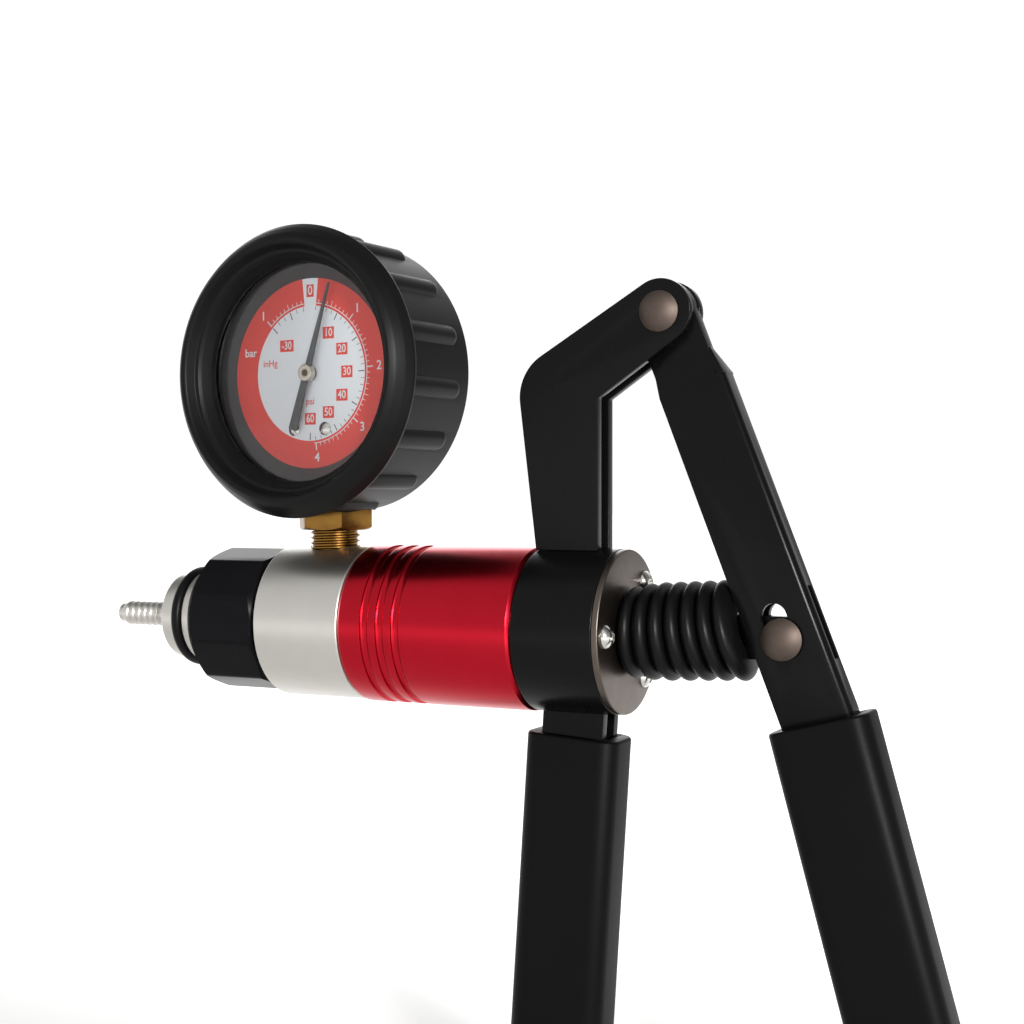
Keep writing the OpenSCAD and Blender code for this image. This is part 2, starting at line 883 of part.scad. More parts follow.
// Triangles that join ring i to ring i + 1 of a tube
function band(i, sides) =
    [for (k = [0 : sides - 1], half = [0, 1])
        let (a = i * sides + k, b = i * sides + (k + 1) % sides)
            half == 0 ? [a, b, a + sides] : [b, b + sides, a + sides]];

spring_rings = 8 * spring_turns;
spring_sides = 6;
spring_from = bush_end + wire_d / 2 + 0.1;
spring_to = seat_x - wire_d / 2 - 0.1;
function spring_mid(i) =
    let (turn = 360 * i / 8)
        [spring_from + (spring_to - spring_from) * i / spring_rings, spring_r * cos(turn), spring_r * sin(turn)];
function spring_out(i) = [0, cos(360 * i / 8), sin(360 * i / 8)];
spring_gaps = [for (i = [0 : spring_rings], j = [i + 5 : spring_rings])
    norm(spring_mid(i) - spring_mid(j)) - wire_d];
echo(return_spring_least_gap = min(spring_gaps));

module return_spring() {
    points = [for (i = [0 : spring_rings])
        each ring_points(spring_mid(i), [1, 0, 0], spring_out(i), wire_d / 2, spring_sides)];
    last = spring_rings * spring_sides;
    caps = concat(
        [for (k = [1 : spring_sides - 2]) [0, k + 1, k]],
        [for (k = [1 : spring_sides - 2]) [last, last + k, last + k + 1]]
    );
    bands = [for (i = [0 : spring_rings - 1]) each band(i, spring_sides)];
    color("#9a9a9a")
        polyhedron(points = points, faces = concat(caps, bands));
}

// Bellows: rings of [x, radius, lean]; the lean fans the ridges out towards the sloping handle
bellows_sides = 24;
bellows_from = end_x + 0.5;
bellows_to = edge_at_axis - 0.6;
bellows_pitch = (bellows_to - bellows_from) / bellows_ridges;
bellows_lean = tan(handle_angle) * 0.95;
function ridge_r(i) = bellows_r - (i == 0 ? 1.2 : i == 1 ? 0.4 : 0);
function bellows_ring(i, step) =
    let (x = bellows_from + (i + step / 4) * bellows_pitch)
    let (rise = [0, 0.76, 1, 0.76][step])
        [x, ridge_r(i) - bellows_depth * (1 - rise), bellows_lean * (x - bellows_from) / (bellows_to - bellows_from)];
bellows_outside = concat(
    [[lip_x, bush_r], [lip_x + lip_t, bush_r], [lip_x + lip_t, bellows_neck_r], [bellows_from - 0.2, bellows_neck_r]],
    [for (i = [0 : bellows_ridges - 1], step = [0 : 3]) bellows_ring(i, step)],
    [[bellows_to, bellows_r - bellows_depth, bellows_lean]]
);
function bellows_lean_of(ring) = len(ring) == 3 ? ring[2] : 0;
function bellows_circle(ring, r) =
    [for (k = [0 : bellows_sides - 1])
        let (y = r * cos(360 * k / bellows_sides), z = r * sin(360 * k / bellows_sides))
            [ring[0] - bellows_lean_of(ring) * z, y, z]];

module bellows() {
    rings = len(bellows_outside);
    inner_r = bellows_neck_r - bellows_wall;
    outside = [for (ring = bellows_outside) each bellows_circle(ring, ring[1])];
    inside = [for (i = [rings - 1 : -1 : 0])
        let (ring = bellows_outside[i])
            each bellows_circle(ring, i < 4 ? inner_r : ring[1] - bellows_wall)];
    bands = [for (i = [0 : 2 * rings - 2]) each band(i, bellows_sides)];
    first = (2 * rings - 1) * bellows_sides;
    closing = [for (k = [0 : bellows_sides - 1], half = [0, 1])
        let (a = first + k, b = first + (k + 1) % bellows_sides)
            half == 0 ? [a, b, k] : [b, (k + 1) % bellows_sides, k]];
    color("#141414")
        polyhedron(points = concat(outside, inside), faces = concat(bands, closing));
}

// Fixed frame: arm over the barrel, tang and grip below it

// Point where the line from p touches the lower side of the arm's round end
function lower_tangent(p, c, r) =
    let (d = c - p, a = atan2(d[1], d[0]) - asin(r / norm(d)))
        c + r * [sin(a), -cos(a)];

// Where the arm's back edge meets its sloping top edge, set in from both by inset
function arm_corner(inset) =
    let (top = arm_top(inset), foot = [arm_back_foot + inset, arm_foot_z])
    let (back = [-arm_lean, arm_inner_z - arm_foot_z])
    let (s = ((foot[0] - top[0]) * back[1] - (foot[1] - top[1]) * back[0])
        / (arm_top_dir[0] * back[1] - arm_top_dir[1] * back[0]))
        top + s * arm_top_dir;

// Point on the arm's top edge above the pivot
function arm_top(inset) = pivot_xz + (arm_end_r - inset) * arm_top_normal;

// Back and top edges of the arm with the corner between them rounded, closed through the points in rest
module arm_shape(width, inset, rest) {
    corner_r = arm_corner_r - inset;
    back_dir = [-arm_lean, arm_inner_z - arm_foot_z];
    up = back_dir / norm(back_dir);
    corner = arm_corner(inset);
    cut = corner_r * tan((atan2(up[1], up[0]) - arm_slope) / 2);
    below = corner - cut * up;
    beside = corner + cut * arm_top_dir;
    centre = below + corner_r * [up[1], -up[0]];
    difference() {
        plate_xz(width)
            polygon(concat([[arm_back_foot + inset, arm_foot_z], corner, arm_top(inset)], rest));
        difference() {
            plate_xz(width + 1)
                polygon([below, 2 * corner - centre, beside, centre]);
            bar_y(centre[0], centre[1], width + 2, corner_r);
        }
    }
}

// Arm without its hollow; the round end overlaps the straight part
module arm_outside() {
    inner = [arm_front, arm_inner_z];
    arm_shape(frame_w, 0, [lower_tangent(inner, pivot_xz, arm_end_r), inner, [arm_front, arm_foot_z]]);
    bar_y(pivot_x, pivot_z, frame_w, arm_end_r);
}

// Hollow between the arm's two plates, open to the front and below
module arm_hollow() {
    past_top = arm_top(frame_sheet) + past_edge * arm_top_dir;
    arm_shape(frame_gap, frame_sheet, [
        past_top,
        [past_top[0], arm_foot_z - past_edge],
        [arm_back_foot + frame_sheet, arm_foot_z - past_edge]
    ]);
    bar_y(pivot_x, pivot_z, frame_gap, arm_web_clear);
}

module frame_arm() {
    color("#1b1b1b")
        difference() {
            arm_outside();
            arm_hollow();
            bar_x(collar_x - 10, collar_len + 20, collar_r + weld_gap);
            bar_y(pivot_x, pivot_z, frame_w + 2, rivet_r + 0.02);
        }
}

// Section of the tang in its grip's frame, open to the front
module tang_section() {
    difference() {
        square([tang_w, frame_w], center = true);
        translate([-tang_w / 2 + frame_sheet, -frame_gap / 2])
            square([tang_w, frame_gap]);
    }
}

module frame_tang() {
    tang_bottom = fixed_grip_len - grip_floor - tang_end_gap;
    color("#1b1b1b")
        difference() {
            on_fixed_grip()
                translate([0, 0, -tang_bottom])
                    linear_extrude(height = tang_bottom + fixed_grip_drop - collar_r / 2)
                        tang_section();
            bar_x(collar_x - 10, collar_len + 20, collar_r + weld_gap);
        }
}

// A vinyl sleeve with a pocket for its tang
module grip_sleeve(len, pocket_w, pocket_d) {
    difference() {
        translate([0, 0, -len])
            linear_extrude(height = len)
                rounded_rect(grip_w, grip_d, grip_corner);
        translate([-pocket_w / 2, -pocket_d / 2, -len + grip_floor])
            cube([pocket_w, pocket_d, len]);
    }
}

module fixed_grip() {
    color("#161614")
        on_fixed_grip()
            grip_sleeve(fixed_grip_len, tang_w + 2 * grip_gap, frame_w + 2 * grip_gap);
}

module pivot_rivet() {
    color("#6f6460") {
        bar_y(pivot_x, pivot_z, frame_w + 1, rivet_r);
        pin_heads(pivot_x, pivot_z, frame_w + 2 * seat_gap, rivet_head_r, rivet_head_h);
    }
}

// Moving handle: pinched at the pivot, joggled out into a channel, and bent a little in the grip

module joggle() {
    for (side = [-1, 1])
        translate([-blade_front, 0, 0])
            rotate([90, 0, 90])
                linear_extrude(height = blade_front + blade_flat)
                    polygon([
                        [0, -pinch_len + 1],
                        [side * pinch_t / 2, -pinch_len + 1],
                        [side * pinch_t / 2, -pinch_len],
                        [side * handle_w / 2, -pinch_len - joggle_len],
                        [side * handle_w / 2, -pinch_len - joggle_len - 1],
                        [side * handle_gap / 2, -pinch_len - joggle_len - 1],
                        [side * handle_gap / 2, -pinch_len - joggle_len],
                        [0, -pinch_len]
                    ]);
}

module moving_handle() {
    blade_top = pinch_len + joggle_len;
    tang_bottom = moving_grip_len - grip_floor - tang_end_gap;
    color("#1b1b1b")
        difference() {
            union() {
                on_handle() {
                    rotate([90, 0, 0])
                        cylinder(h = pinch_t, r = pinch_r, center = true, $fn = fine);
                    translate([-blade_front, -pinch_t / 2, -pinch_len])
                        cube([blade_front + blade_flat, pinch_t, pinch_len]);
                    joggle();
                    translate([0, 0, -grip_from_pivot])
                        linear_extrude(height = grip_from_pivot - blade_top)
                            channel_section();
                }
                on_moving_grip()
                    translate([-blade_mid, 0, -tang_bottom])
                        linear_extrude(height = tang_bottom + 1)
                            channel_section(seat_gap);
            }
            bar_y(pivot_x, pivot_z, handle_w + 2, rivet_r + run_gap);
            on_handle() {
                for (t = [slot_top, pin_reach])
                    translate([0, 0, -t])
                        rotate([90, 0, 0])
                            cylinder(h = handle_w + 2, r = slot_r, center = true, $fn = fine);
                translate([-slot_r, -handle_w / 2 - 1, -pin_reach])
                    cube([2 * slot_r, handle_w + 2, pin_reach - slot_top]);
                translate([blade_flat - 1, -web_slot_w / 2, -web_slot_to])
                    cube([handle_sheet + 2, web_slot_w, web_slot_to - web_slot_from]);
            }
        }
}

module moving_grip() {
    color("#161614")
        on_moving_grip()
            grip_sleeve(moving_grip_len, blade_front + blade_back + 2 * grip_gap, handle_w + 2 * grip_gap);
}

// Gauge

module gauge_stem() {
    color("#b07a28")
        difference() {
            union() {
                translate([gauge_x, 0, head_r - thread_in])
                    cylinder(h = thread_in + thread_show, r = thread_r, $fn = fine);
                in_gauge() {
                    translate([0, -dial_rise, 0])
                        rotate([-90, 0, 0])
                            rotate([0, 0, 30 + stem_flats_turn])
                                cylinder(h = dial_rise - case_r - seat_gap, r = stem_flats / sqrt(3), $fn = 6);
                    translate([0, -dial_rise, 0])
                        rotate([-90, 0, 0])
                            cylinder(h = dial_rise - case_r + 4, r = neck_r, $fn = fine);
                    translate([-block_w / 2, -case_r + 3, -block_half])
                        cube([block_w, case_r - 3 + block_top, 2 * block_half]);
                }
            }
            in_gauge() {
                difference() {
                    translate([0, 0, -tube_d / 2 - seat_gap])
                        cylinder(h = tube_d + 2 * seat_gap, r = tube_r + tube_t / 2 + seat_gap, $fn = fine);
                    cylinder(h = tube_d * 2, r = tube_r - tube_t / 2 - seat_gap, center = true, $fn = fine);
                    translate([-block_w, -2 * tube_r, -tube_d])
                        cube([block_w + block_w / 2 - 2, 2 * tube_r, 2 * tube_d]);
                }
                translate([0, -dial_rise, 0])
                    rotate([-90, 0, 0])
                        cylinder(h = dial_rise - tube_r - 3, r = air_r, $fn = small);
            }
            translate([gauge_x, 0, 0])
                cylinder(h = flats_z + 1, r = air_r, $fn = small);
        }
}

module gauge_case() {
    color("#3a3a3a")
        in_gauge()
            difference() {
                gauge_turned([
                    [-case_back, 0],
                    [-case_back, case_r],
                    [case_front, case_r],
                    [case_front, case_r - case_wall],
                    [-case_back + case_wall, case_r - case_wall],
                    [-case_back + case_wall, 0]
                ]);
                translate([0, -case_r + 4, 0])
                    rotate([90, 0, 0])
                        cylinder(h = 5, r = neck_r + seat_gap, $fn = fine);
            }
}

module gauge_boot() {
    hole_r = stem_flats / sqrt(3) + 0.6;
    rim_mid = boot_front - boot_tube;
    bar_back = -boot_back + 8.3;
    mouth_r = boot_r - 4.2;
    lip_top = case_front + 1.2;
    lip_sink = 0.8;
    slope = (mouth_r - boot_lip_r) / (boot_front - lip_top);
    back_edge = 1;
    bar_mid_r = boot_side_r + boot_bar_rise - boot_bar_r;
    color("#141414")
        in_gauge()
            difference() {
                union() {
                    gauge_turned([
                        [-boot_back, 0],
                        [-boot_back, boot_side_r - back_edge],
                        [-boot_back + back_edge, boot_side_r],
                        [rim_mid, boot_side_r],
                        [rim_mid, 0]
                    ]);
                    rotate_extrude($fn = fine)
                        translate([boot_r - boot_tube, rim_mid])
                            circle(r = boot_tube, $fn = small);
                    for (i = [0 : boot_bars - 1])
                        rotate([0, 0, boot_bar_turn + 360 * i / boot_bars])
                            translate([bar_mid_r, 0, bar_back]) {
                                cylinder(h = rim_mid - bar_back, r = boot_bar_r, $fn = small);
                                sphere(r = boot_bar_r, $fn = small);
                            }
                }
                translate([0, 0, -case_back - seat_gap])
                    cylinder(h = case_back + case_front + 2 * seat_gap, r = boot_in_r, $fn = fine);
                translate([0, 0, -boot_back - 1])
                    cylinder(h = boot_back, r = boot_back_hole, $fn = fine);
                cylinder(h = boot_front + 1, r = boot_lip_r, $fn = fine);
                translate([0, 0, lip_top - lip_sink])
                    cylinder(
                        h = boot_front - lip_top + 2 * lip_sink,
                        r1 = boot_lip_r - slope * lip_sink,
                        r2 = mouth_r + slope * lip_sink,
                        $fn = fine
                    );
                translate([0, -case_r + 2, 0])
                    rotate([90, 0, 0])
                        cylinder(h = boot_r, r = hole_r, $fn = fine);
            }
}

// Flattened tube bent into a C, closed at its tip by a lug that the link reaches
module bourdon_tube() {
    lug = 2;
    lug_inset = 0.3;
    color("#b5893c")
        in_gauge() {
            rotate([0, 0, tube_from])
                rotate_extrude(angle = tube_sweep, $fn = fine)
                    translate([tube_r - tube_t / 2, -tube_d / 2])
                        square([tube_t, tube_d]);
            rotate([0, 0, tube_from + tube_sweep])
                translate([tube_r - tube_t / 2 + lug_inset, -lug / 2, -tube_d / 2 + lug_inset])
                    cube([tube_t - 2 * lug_inset, lug, link_z - clear_gap + tube_d / 2 - lug_inset]);
        }
}

// Two plates on pillars that carry the sector and the pinion; the front one takes the dial's screws
module movement_frame() {
    pillars = [
        [plate_left + pillar_in, plate_low + pillar_in],
        [plate_right - pillar_in, plate_low + pillar_in],
        [plate_right - pillar_in, plate_high - pillar_in]
    ];
    color("#c2a35a")
        in_gauge()
            difference() {
                union() {
                    for (z = [back_plate_z, front_plate_z])
                        translate([plate_left, plate_low, z])
                            cube([plate_right - plate_left, plate_high - plate_low, plate_t]);
                    for (p = pillars)
                        translate([p[0], p[1], back_plate_z + plate_t / 2])
                            cylinder(h = front_plate_z - back_plate_z, r = pillar_r, $fn = small);
                    for (side = [-1, 1])
                        translate([side * dial_screw_at[0], dial_screw_at[1], front_plate_z + plate_t / 2])
                            cylinder(h = dial_front - dial_t - front_plate_z - plate_t / 2, r = 1.6, $fn = small);
                }
                cylinder(h = dial_front, r = arbor_r + run_gap, $fn = small);
                translate([-gear_centre, 0, 0])
                    cylinder(h = dial_front, r = arbor_r + run_gap, $fn = small);
                for (side = [-1, 1])
                    translate([side * dial_screw_at[0], dial_screw_at[1], front_plate_z - 1])
                        cylinder(h = dial_front, r = dial_screw_r + seat_gap, $fn = small);
            }
}

// One gear tooth on a root circle, pointing along x
module tooth(root_r, tip_r) {
    polygon([
        [root_r - 0.2, -tooth_w],
        [tip_r, -tooth_w / 3],
        [tip_r, tooth_w / 3],
        [root_r - 0.2, tooth_w]
    ]);
}

module sector_gear() {
    pitch_r = gear_module * sector_teeth / 2;
    step = 360 / sector_teeth;
    first = -7;
    last = 3;
    color("#d0b060")
        in_gauge()
            translate([-gear_centre, 0, 0]) {
                translate([0, 0, gear_z])
                    linear_extrude(height = gear_t)
                        difference() {
                            union() {
                                circle(r = 1.9, $fn = small);
                                intersection() {
                                    circle(r = pitch_r - tooth_root, $fn = fine);
                                    polygon([
                                        [-1, 0],
                                        20 * [cos((first - 0.2) * step), sin((first - 0.2) * step)],
                                        [25, 0],
                                        20 * [cos((last + 1.2) * step), sin((last + 1.2) * step)]
                                    ]);
                                }
                                for (k = [first : last])
                                    rotate((k + 0.5) * step)
                                        tooth(pitch_r - tooth_root, pitch_r + tooth_tip);
                                translate([-tail_len, -0.9])
                                    square([tail_len, 1.8]);
                                translate([-tail_len, 0])
                                    circle(r = 0.9, $fn = small);
                            }
                            translate([-tail_len, 0])
                                circle(r = 0.4, $fn = small);
                        }
                translate([0, 0, back_plate_z])
                    cylinder(h = front_plate_z + plate_t - back_plate_z, r = arbor_r, $fn = small);
            }
}

// Link from the sector's tail towards the tube's tip
module tip_link() {
    color("#d0b060")
        in_gauge()
            translate([-gear_centre - tail_len, 0, 0]) {
                translate([0, 0, link_z])
                    linear_extrude(height = link_t) {
                        circle(r = 0.9, $fn = small);
                        translate([-0.9, 0])
                            square([1.8, link_len]);
                        translate([0, link_len])
                            circle(r = 0.9, $fn = small);
                    }
                translate([0, 0, gear_z])
                    cylinder(h = link_z - gear_z + link_t / 2, r = 0.4 - run_gap, $fn = small);
            }
}

module pinion_arbor() {
    pitch_r = gear_module * pinion_teeth / 2;
    color("#d0b060")
        in_gauge() {
            translate([0, 0, gear_z])
                linear_extrude(height = gear_t) {
                    circle(r = pitch_r - tooth_root, $fn = fine);
                    for (k = [0 : pinion_teeth - 1])
                        rotate(360 * k / pinion_teeth)
                            tooth(pitch_r - tooth_root, pitch_r + tooth_tip);
                }
            translate([0, 0, back_plate_z])
                cylinder(h = pointer_z + pointer_t - back_plate_z, r = arbor_r, $fn = small);
        }
}

module gauge_dial() {
    color("#c8463c")
        in_gauge()
            difference() {
                translate([0, 0, dial_front - dial_t])
                    cylinder(h = dial_t, r = ring_r, $fn = fine);
                cylinder(h = dial_front + 1, r = hub_r, $fn = fine);
                for (side = [-1, 1])
                    translate([side * dial_screw_at[0], dial_screw_at[1], 0])
                        cylinder(h = dial_front + 1, r = dial_screw_r + seat_gap, $fn = small);
            }
}

module dial_screws() {
    color("#c8c4b8")
        in_gauge()
            for (side = [-1, 1])
                translate([side * dial_screw_at[0], dial_screw_at[1], dial_front]) {
                    translate([0, 0, -2])
                        cylinder(h = 2.2, r = dial_screw_r, $fn = small);
                    difference() {
                        cylinder(h = 0.9, r = dial_screw_head_r, $fn = small);
                        translate([0, 0, 0.9])
                            cube([4, 0.5, 0.8], center = true);
                    }
                }
}

module dial_ring() {
    color("#4a4a4c")
        in_gauge()
            gauge_turned([
                [dial_front, dial_r],
                [dial_front, ring_r],
                [window_z, ring_r],
                [window_z, boot_lip_r - 0.3]
            ]);
}

module pointer() {
    color("#444444")
        in_gauge()
            rotate([0, 0, -pointer_turn])
                difference() {
                    union() {
                        translate([0, 0, pointer_z])
                            linear_extrude(height = pointer_t)
                                polygon([
                                    [-1.3, -pointer_tail],
                                    [1.3, -pointer_tail],
                                    [0.9, 0],
                                    [0.2, pointer_len],
                                    [-0.2, pointer_len],
                                    [-0.9, 0]
                                ]);
                        translate([0, 0, pointer_z - hub_under])
                            cylinder(h = hub_h, r = hub_r, $fn = fine);
                    }
                    cylinder(h = pointer_z + pointer_t, r = arbor_r + seat_gap, $fn = small);
                }
}

module gauge_window() {
    color([0.85, 0.9, 0.95, 0.35])
        in_gauge()
            translate([0, 0, window_z])
                cylinder(h = window_t, r = ring_r, $fn = fine);
}

nozzle_plug();
plug_o_ring();
spool_clip();
coupling_nut();
valve_head();
valve_plate();
inlet_valve();
outlet_valve();
head_seal();
barrel();
mount_collar();
rod_bush();
rod_seal();
end_washer();
washer_screws();
piston();
piston_cup();
piston_nut();
piston_rod();
spring_seat();
return_spring();
bellows();
rod_pin();
frame_arm();
frame_tang();
fixed_grip();
pivot_rivet();
moving_handle();
moving_grip();
gauge_stem();
gauge_case();
gauge_boot();
bourdon_tube();
movement_frame();
sector_gear();
tip_link();
pinion_arbor();
gauge_dial();
dial_screws();
dial_ring();
pointer();
gauge_window();
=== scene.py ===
"""Looks of a hand vacuum and pressure pump with a booted dial gauge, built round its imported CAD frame.

Each piece is modelled in millimetres at the origin, standing along Z, and then placed in the CAD frame.
"""
import math

import bpy
from mathutils import Matrix, Vector


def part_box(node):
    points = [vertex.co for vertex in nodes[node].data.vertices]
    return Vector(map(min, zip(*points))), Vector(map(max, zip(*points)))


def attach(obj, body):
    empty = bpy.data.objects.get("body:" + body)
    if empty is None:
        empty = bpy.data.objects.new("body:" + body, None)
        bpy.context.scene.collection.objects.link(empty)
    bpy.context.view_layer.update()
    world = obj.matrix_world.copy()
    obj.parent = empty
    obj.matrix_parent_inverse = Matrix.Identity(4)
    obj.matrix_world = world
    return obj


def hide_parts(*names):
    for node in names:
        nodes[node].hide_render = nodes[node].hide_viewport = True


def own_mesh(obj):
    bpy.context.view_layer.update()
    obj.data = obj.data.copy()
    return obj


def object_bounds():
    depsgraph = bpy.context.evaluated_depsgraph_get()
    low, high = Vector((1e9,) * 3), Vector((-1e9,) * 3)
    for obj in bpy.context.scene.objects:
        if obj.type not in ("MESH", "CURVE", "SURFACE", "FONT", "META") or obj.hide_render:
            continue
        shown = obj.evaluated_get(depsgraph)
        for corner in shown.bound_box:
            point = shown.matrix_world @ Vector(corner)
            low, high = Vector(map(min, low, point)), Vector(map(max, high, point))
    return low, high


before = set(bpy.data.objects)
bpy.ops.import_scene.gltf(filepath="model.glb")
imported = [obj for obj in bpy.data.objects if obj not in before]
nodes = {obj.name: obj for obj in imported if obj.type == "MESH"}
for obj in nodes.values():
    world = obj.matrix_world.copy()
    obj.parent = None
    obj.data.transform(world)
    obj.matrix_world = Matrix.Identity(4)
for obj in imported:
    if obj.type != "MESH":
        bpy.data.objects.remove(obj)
cad_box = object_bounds()

MM = 0.001


def shift(x, y, z):
    """A move in millimetres."""
    return Matrix.Translation((x * MM, y * MM, z * MM))


def twist(degrees, axis):
    """A turn about an axis through the origin."""
    return Matrix.Rotation(math.radians(degrees), 4, axis)


# Stations of the CAD frame, in millimetres and degrees
PIVOT = (162.0, 75.4)
PIN_X = 191.4
END_X = 152.8
HANDLE_ANGLE = 21.302
GAUGE_AT = (70.55, 63.7)

# Frames that pieces are placed in
PUMP = twist(90, "Y")
GAUGE = shift(GAUGE_AT[0], 0, GAUGE_AT[1]) @ twist(-5, "Z") @ twist(90, "X")
HANDLE = shift(PIVOT[0], 0, PIVOT[1]) @ twist(-HANDLE_ANGLE, "Y")
MOVING_GRIP = HANDLE @ shift(0.9, 0, -101) @ twist(HANDLE_ANGLE - 15.2, "Y")
FIXED_GRIP = shift(139.95, 0, -25) @ twist(3.7, "Y")
PIVOT_PIN = shift(PIVOT[0], 0, PIVOT[1]) @ twist(90, "X")
ROD_PIN = shift(PIN_X, 0, 0) @ twist(90, "X")


# Camera, set from the edges of barrel, head and washer in the picture

camera_data = bpy.data.cameras.new("camera")
camera_data.lens = 56.25
camera_data.sensor_width = 36
camera_data.clip_start = 0.01
camera = bpy.data.objects.new("camera", camera_data)
camera.location = (0.2948, -0.3544, 0.0317)
camera.rotation_euler = (math.radians(89.53), 0, math.radians(26.03))
bpy.context.scene.collection.objects.link(camera)
bpy.context.scene.camera = camera


# Hand tools: selecting, turning, cutting, rounding and placing

def alone(piece):
    """Leave only this piece selected."""
    bpy.ops.object.select_all(action="DESELECT")
    piece.select_set(True)
    bpy.context.view_layer.objects.active = piece


def edit(piece, kind="VERT", test=None):
    """Open a piece in edit mode with all of it selected, or the elements whose place and direction pass the test."""
    alone(piece)
    bpy.context.tool_settings.mesh_select_mode = [kind == k for k in ("VERT", "EDGE", "FACE")]
    mesh = piece.data
    for elements in (mesh.vertices, mesh.edges, mesh.polygons):
        elements.foreach_set("select", [test is None] * len(elements))
    if test and kind == "FACE":
        for face in mesh.polygons:
            face.select = bool(test(face.center / MM, face.normal))
    elif test and kind == "EDGE":
        for edge in mesh.edges:
            a, b = (mesh.vertices[i].co for i in edge.vertices)
            edge.select = bool(test((a + b) / 2 / MM, (b - a).normalized()))
    elif test:
        for point in mesh.vertices:
            point.select = bool(test(point.co / MM, point.normal))
    bpy.ops.object.mode_set(mode="EDIT")


def done():
    """Leave edit mode."""
    bpy.ops.object.mode_set(mode="OBJECT")


def outwards(piece, weld=1e-7):
    """Merge doubled points and turn all faces outwards."""
    edit(piece)
    bpy.ops.mesh.remove_doubles(threshold=weld)
    bpy.ops.mesh.normals_make_consistent(inside=False)
    done()
    return piece


def eased(points, closed=False, step=18):
    """A profile with rounded corners: each point is (height, radius) or (height, radius, fillet)."""
    out = []
    count = len(points)
    for i, point in enumerate(points):
        here = Vector(point[:2])
        fillet = point[2] if len(point) == 3 else 0
        if fillet == 0 or (not closed and i in (0, count - 1)):
            out.append(tuple(here))
            continue
        back = Vector(points[i - 1][:2]) - here
        ahead = Vector(points[(i + 1) % count][:2]) - here
        half = back.angle(ahead) / 2
        reach = min(fillet / math.tan(half), 0.49 * back.length, 0.49 * ahead.length)
        radius = reach * math.tan(half)
        centre = here + (back.normalized() + ahead.normalized()).normalized() * radius / math.sin(half)
        first = here + back.normalized() * reach - centre
        last = here + ahead.normalized() * reach - centre
        turn_by = math.atan2(first.x * last.y - first.y * last.x, first.dot(last))
        parts = max(2, math.ceil(abs(math.degrees(turn_by)) / step))
        for k in range(parts + 1):
            a = turn_by * k / parts
            out.append((
                centre.x + first.x * math.cos(a) - first.y * math.sin(a),
                centre.y + first.x * math.sin(a) + first.y * math.cos(a),
            ))
    return out


def turned(name, profile, sides=96, bored=False):
    """Turn a piece about Z: a ring that is drawn out and resized along a profile of (height, radius) points."""
    bpy.ops.object.select_all(action="DESELECT")
    height, radius = profile[0]
    bpy.ops.mesh.primitive_circle_add(vertices=sides, radius=radius * MM)
    piece = bpy.context.object
    piece.name = name
    edit(piece)
    bpy.ops.transform.translate(value=(0, 0, height * MM))
    for next_height, next_radius in profile[1:]:
        bpy.ops.mesh.extrude_region_move(TRANSFORM_OT_translate={"value": (0, 0, (next_height - height) * MM)})
        scale = next_radius / radius
        bpy.ops.transform.resize(value=(scale, scale, 1), center_override=(0, 0, next_height * MM))
        height, radius = next_height, next_radius
    if bored:
        bpy.ops.mesh.select_all(action="DESELECT")
        bpy.ops.mesh.select_non_manifold()
        bpy.ops.mesh.bridge_edge_loops()
    else:
        bpy.ops.mesh.select_all(action="SELECT")
        bpy.ops.mesh.fill_holes(sides=0)
    done()
    return outwards(piece)


def outlined(name, points, thickness):
    """A flat plate: one point drawn out along an outline, filled and given its thickness along Z."""
    bpy.ops.object.select_all(action="DESELECT")
    bpy.ops.mesh.primitive_plane_add(size=MM)
    piece = bpy.context.object
    piece.name = name
    edit(piece)
    bpy.ops.mesh.merge(type="CENTER")
    bpy.ops.transform.translate(value=(points[0][0] * MM, points[0][1] * MM, 0))
    for a, b in zip(points, points[1:]):
        step = ((b[0] - a[0]) * MM, (b[1] - a[1]) * MM, 0)
        bpy.ops.mesh.extrude_vertices_move(TRANSFORM_OT_translate={"value": step})
    bpy.ops.mesh.select_all(action="SELECT")
    bpy.ops.mesh.edge_face_add()
    bpy.ops.mesh.extrude_region_move(TRANSFORM_OT_translate={"value": (0, 0, thickness * MM)})
    done()
    return outwards(piece)


def block(name, low, high):
    """A block between two corners."""
    bpy.ops.object.select_all(action="DESELECT")
    bpy.ops.mesh.primitive_cube_add(size=MM)
    piece = bpy.context.object
    piece.name = name
    edit(piece)
    bpy.ops.transform.resize(value=[b - a for a, b in zip(low, high)], center_override=(0, 0, 0))
    bpy.ops.transform.translate(value=[(a + b) / 2 * MM for a, b in zip(low, high)])
    done()
    return piece


def modified(piece, kind, **settings):
    """Add a modifier and apply it."""
    alone(piece)
    modifier = piece.modifiers.new(kind.lower(), kind)
    for key, value in settings.items():
        setattr(modifier, key, value)
    bpy.ops.object.modifier_apply(modifier=modifier.name)
    return piece


def cut(piece, tool, operation="DIFFERENCE"):
    """Cut a piece with a tool shape, or keep what both share."""
    modified(piece, "BOOLEAN", operation=operation, object=tool, solver="EXACT")
    bpy.data.objects.remove(tool)
    return piece


def soften(piece, width, segments=2, angle=30):
    """Round the edges that are sharper than the angle."""
    return modified(piece, "BEVEL", width=width * MM, segments=segments, limit_method="ANGLE",
                    angle_limit=math.radians(angle), use_clamp_overlap=True)


def joined(name, *pieces):
    """Join pieces into the first one."""
    bpy.ops.object.select_all(action="DESELECT")
    for piece in pieces:
        piece.select_set(True)
    bpy.context.view_layer.objects.active = pieces[0]
    bpy.ops.object.join()
    pieces[0].name = name
    return pieces[0]


def twin(piece, name):
    """A copy with its own mesh."""
    copy = bpy.data.objects.new(name, piece.data.copy())
    bpy.context.scene.collection.objects.link(copy)
    return copy


